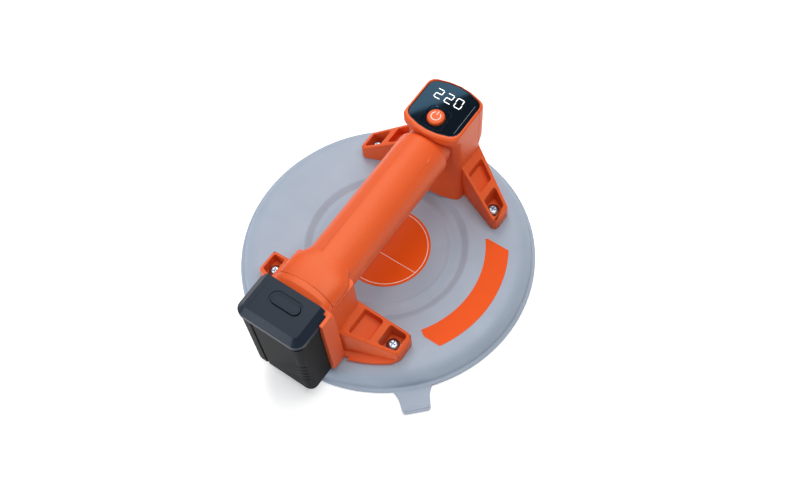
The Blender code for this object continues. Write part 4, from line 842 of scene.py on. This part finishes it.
def underside():
    """The support face and the slotted filter cap, with soft edges."""
    for node, look, slot, edge in (("support_face", DARK_RUBBER, "dark_rubber", 0.0003),
                                   ("filter_cap", BLACK, "black_plastic", 0.0002)):
        piece = finished_copy(node, node + "_moulding")
        break_edges(piece, edge, 2, 25)
        place(piece, look, "base", [node])


# The studio

CAMERA_SPOT = (-0.26150, -0.24004, 0.65793)
CAMERA_TURN = (radians(28.32), radians(3.334), radians(-55.16))
FLOOR_SIZE, FLOOR_Z, FLOOR_GLOW, SKY_STRENGTH = 8, -0.0003, 0.32, 0.27
# Name, place, turn, size in metres, power in watts and colour of each square lamp
LAMPS = (("window_lamp", (1.054, 0.920, 1.25), (0, 0, radians(-34.8)), 1.0, 11.0, (1.0, 0.99, 0.97)),
         ("top_lamp", (0.10, -0.25, 1.30), (radians(10.9), radians(4.4), 0), 0.9, 10.5, (1.0, 0.98, 0.95)),
         ("sheen_lamp", (0.42, 0.49, 1.30), (radians(-19.8), radians(17.9), 0), 0.5, 3.7, (1.0, 0.98, 0.95)),
         ("rear_lamp", (-1.20, 0.45, 0.35), (radians(-21.6), radians(-75.3), 0), 0.4, 5.5, (0.9, 0.95, 1.0)))


def studio():
    """A white floor, a soft sky, four soft lamps and the camera."""
    bpy.ops.mesh.primitive_plane_add(size=FLOOR_SIZE, location=(0, 0, FLOOR_Z))
    floor = newest("studio_floor")
    look, tree, shader, coords = start("matte_white_card", "FFFFFF", Roughness=0.9)
    cloud = speckle(tree, coords, 0.5)
    blend_colours(tree, shader, cloud.outputs["Fac"], "FDFDFD", "FFFFFF")
    path = add(tree, "ShaderNodeLightPath")
    seen = add(tree, "ShaderNodeMath", {0: path.outputs["Is Camera Ray"], 1: path.outputs["Is Glossy Ray"]},
               operation="MAXIMUM")
    seen = add(tree, "ShaderNodeMath", {0: seen.outputs["Value"], 1: path.outputs["Is Transmission Ray"]},
               operation="MAXIMUM")
    glow = add(tree, "ShaderNodeEmission", {"Color": (1, 1, 1, 1), "Strength": FLOOR_GLOW})
    both = add(tree, "ShaderNodeAddShader", {0: shader.outputs["BSDF"], 1: glow.outputs["Emission"]})
    mix = add(tree, "ShaderNodeMixShader", {0: seen.outputs["Value"], 1: shader.outputs["BSDF"],
                                            2: both.outputs["Shader"]})
    tree.links.new(mix.outputs["Shader"], tree.nodes["Material Output"].inputs["Surface"])
    floor.data.materials.append(look)
    world = bpy.data.worlds.new("studio_sky")
    bpy.context.scene.world = world
    world.use_nodes = True
    tree = world.node_tree
    sky = tree.nodes["Background"]
    sky.inputs["Color"].default_value = (0.93, 0.96, 1.0, 1)
    sky.inputs["Strength"].default_value = SKY_STRENGTH
    white = add(tree, "ShaderNodeBackground", {"Color": (1, 1, 1, 1), "Strength": 1.0})
    path = add(tree, "ShaderNodeLightPath")
    mix = add(tree, "ShaderNodeMixShader", {0: path.outputs["Is Camera Ray"], 1: sky.outputs["Background"],
                                            2: white.outputs["Background"]})
    tree.links.new(mix.outputs["Shader"], tree.nodes["World Output"].inputs["Surface"])
    for name, spot, turn, size, power, colour in LAMPS:
        bpy.ops.object.light_add(type="AREA", location=spot, rotation=turn)
        lamp = newest(name)
        lamp.data.size = size
        lamp.data.energy = power
        lamp.data.color = colour
    bpy.ops.object.camera_add(location=CAMERA_SPOT, rotation=CAMERA_TURN)
    camera = newest("product_camera")
    camera.data.lens = 46
    camera.data.sensor_width = 36
    camera.data.clip_start = 0.01
    bpy.context.scene.camera = camera
    bpy.context.scene.view_settings.view_transform = "Standard"


finish_solids()
pad()
labels()
housings()
foot_fasteners()
window()
digits()
power_button()
battery_cap()
release_button()
battery_case()
underside()
studio()
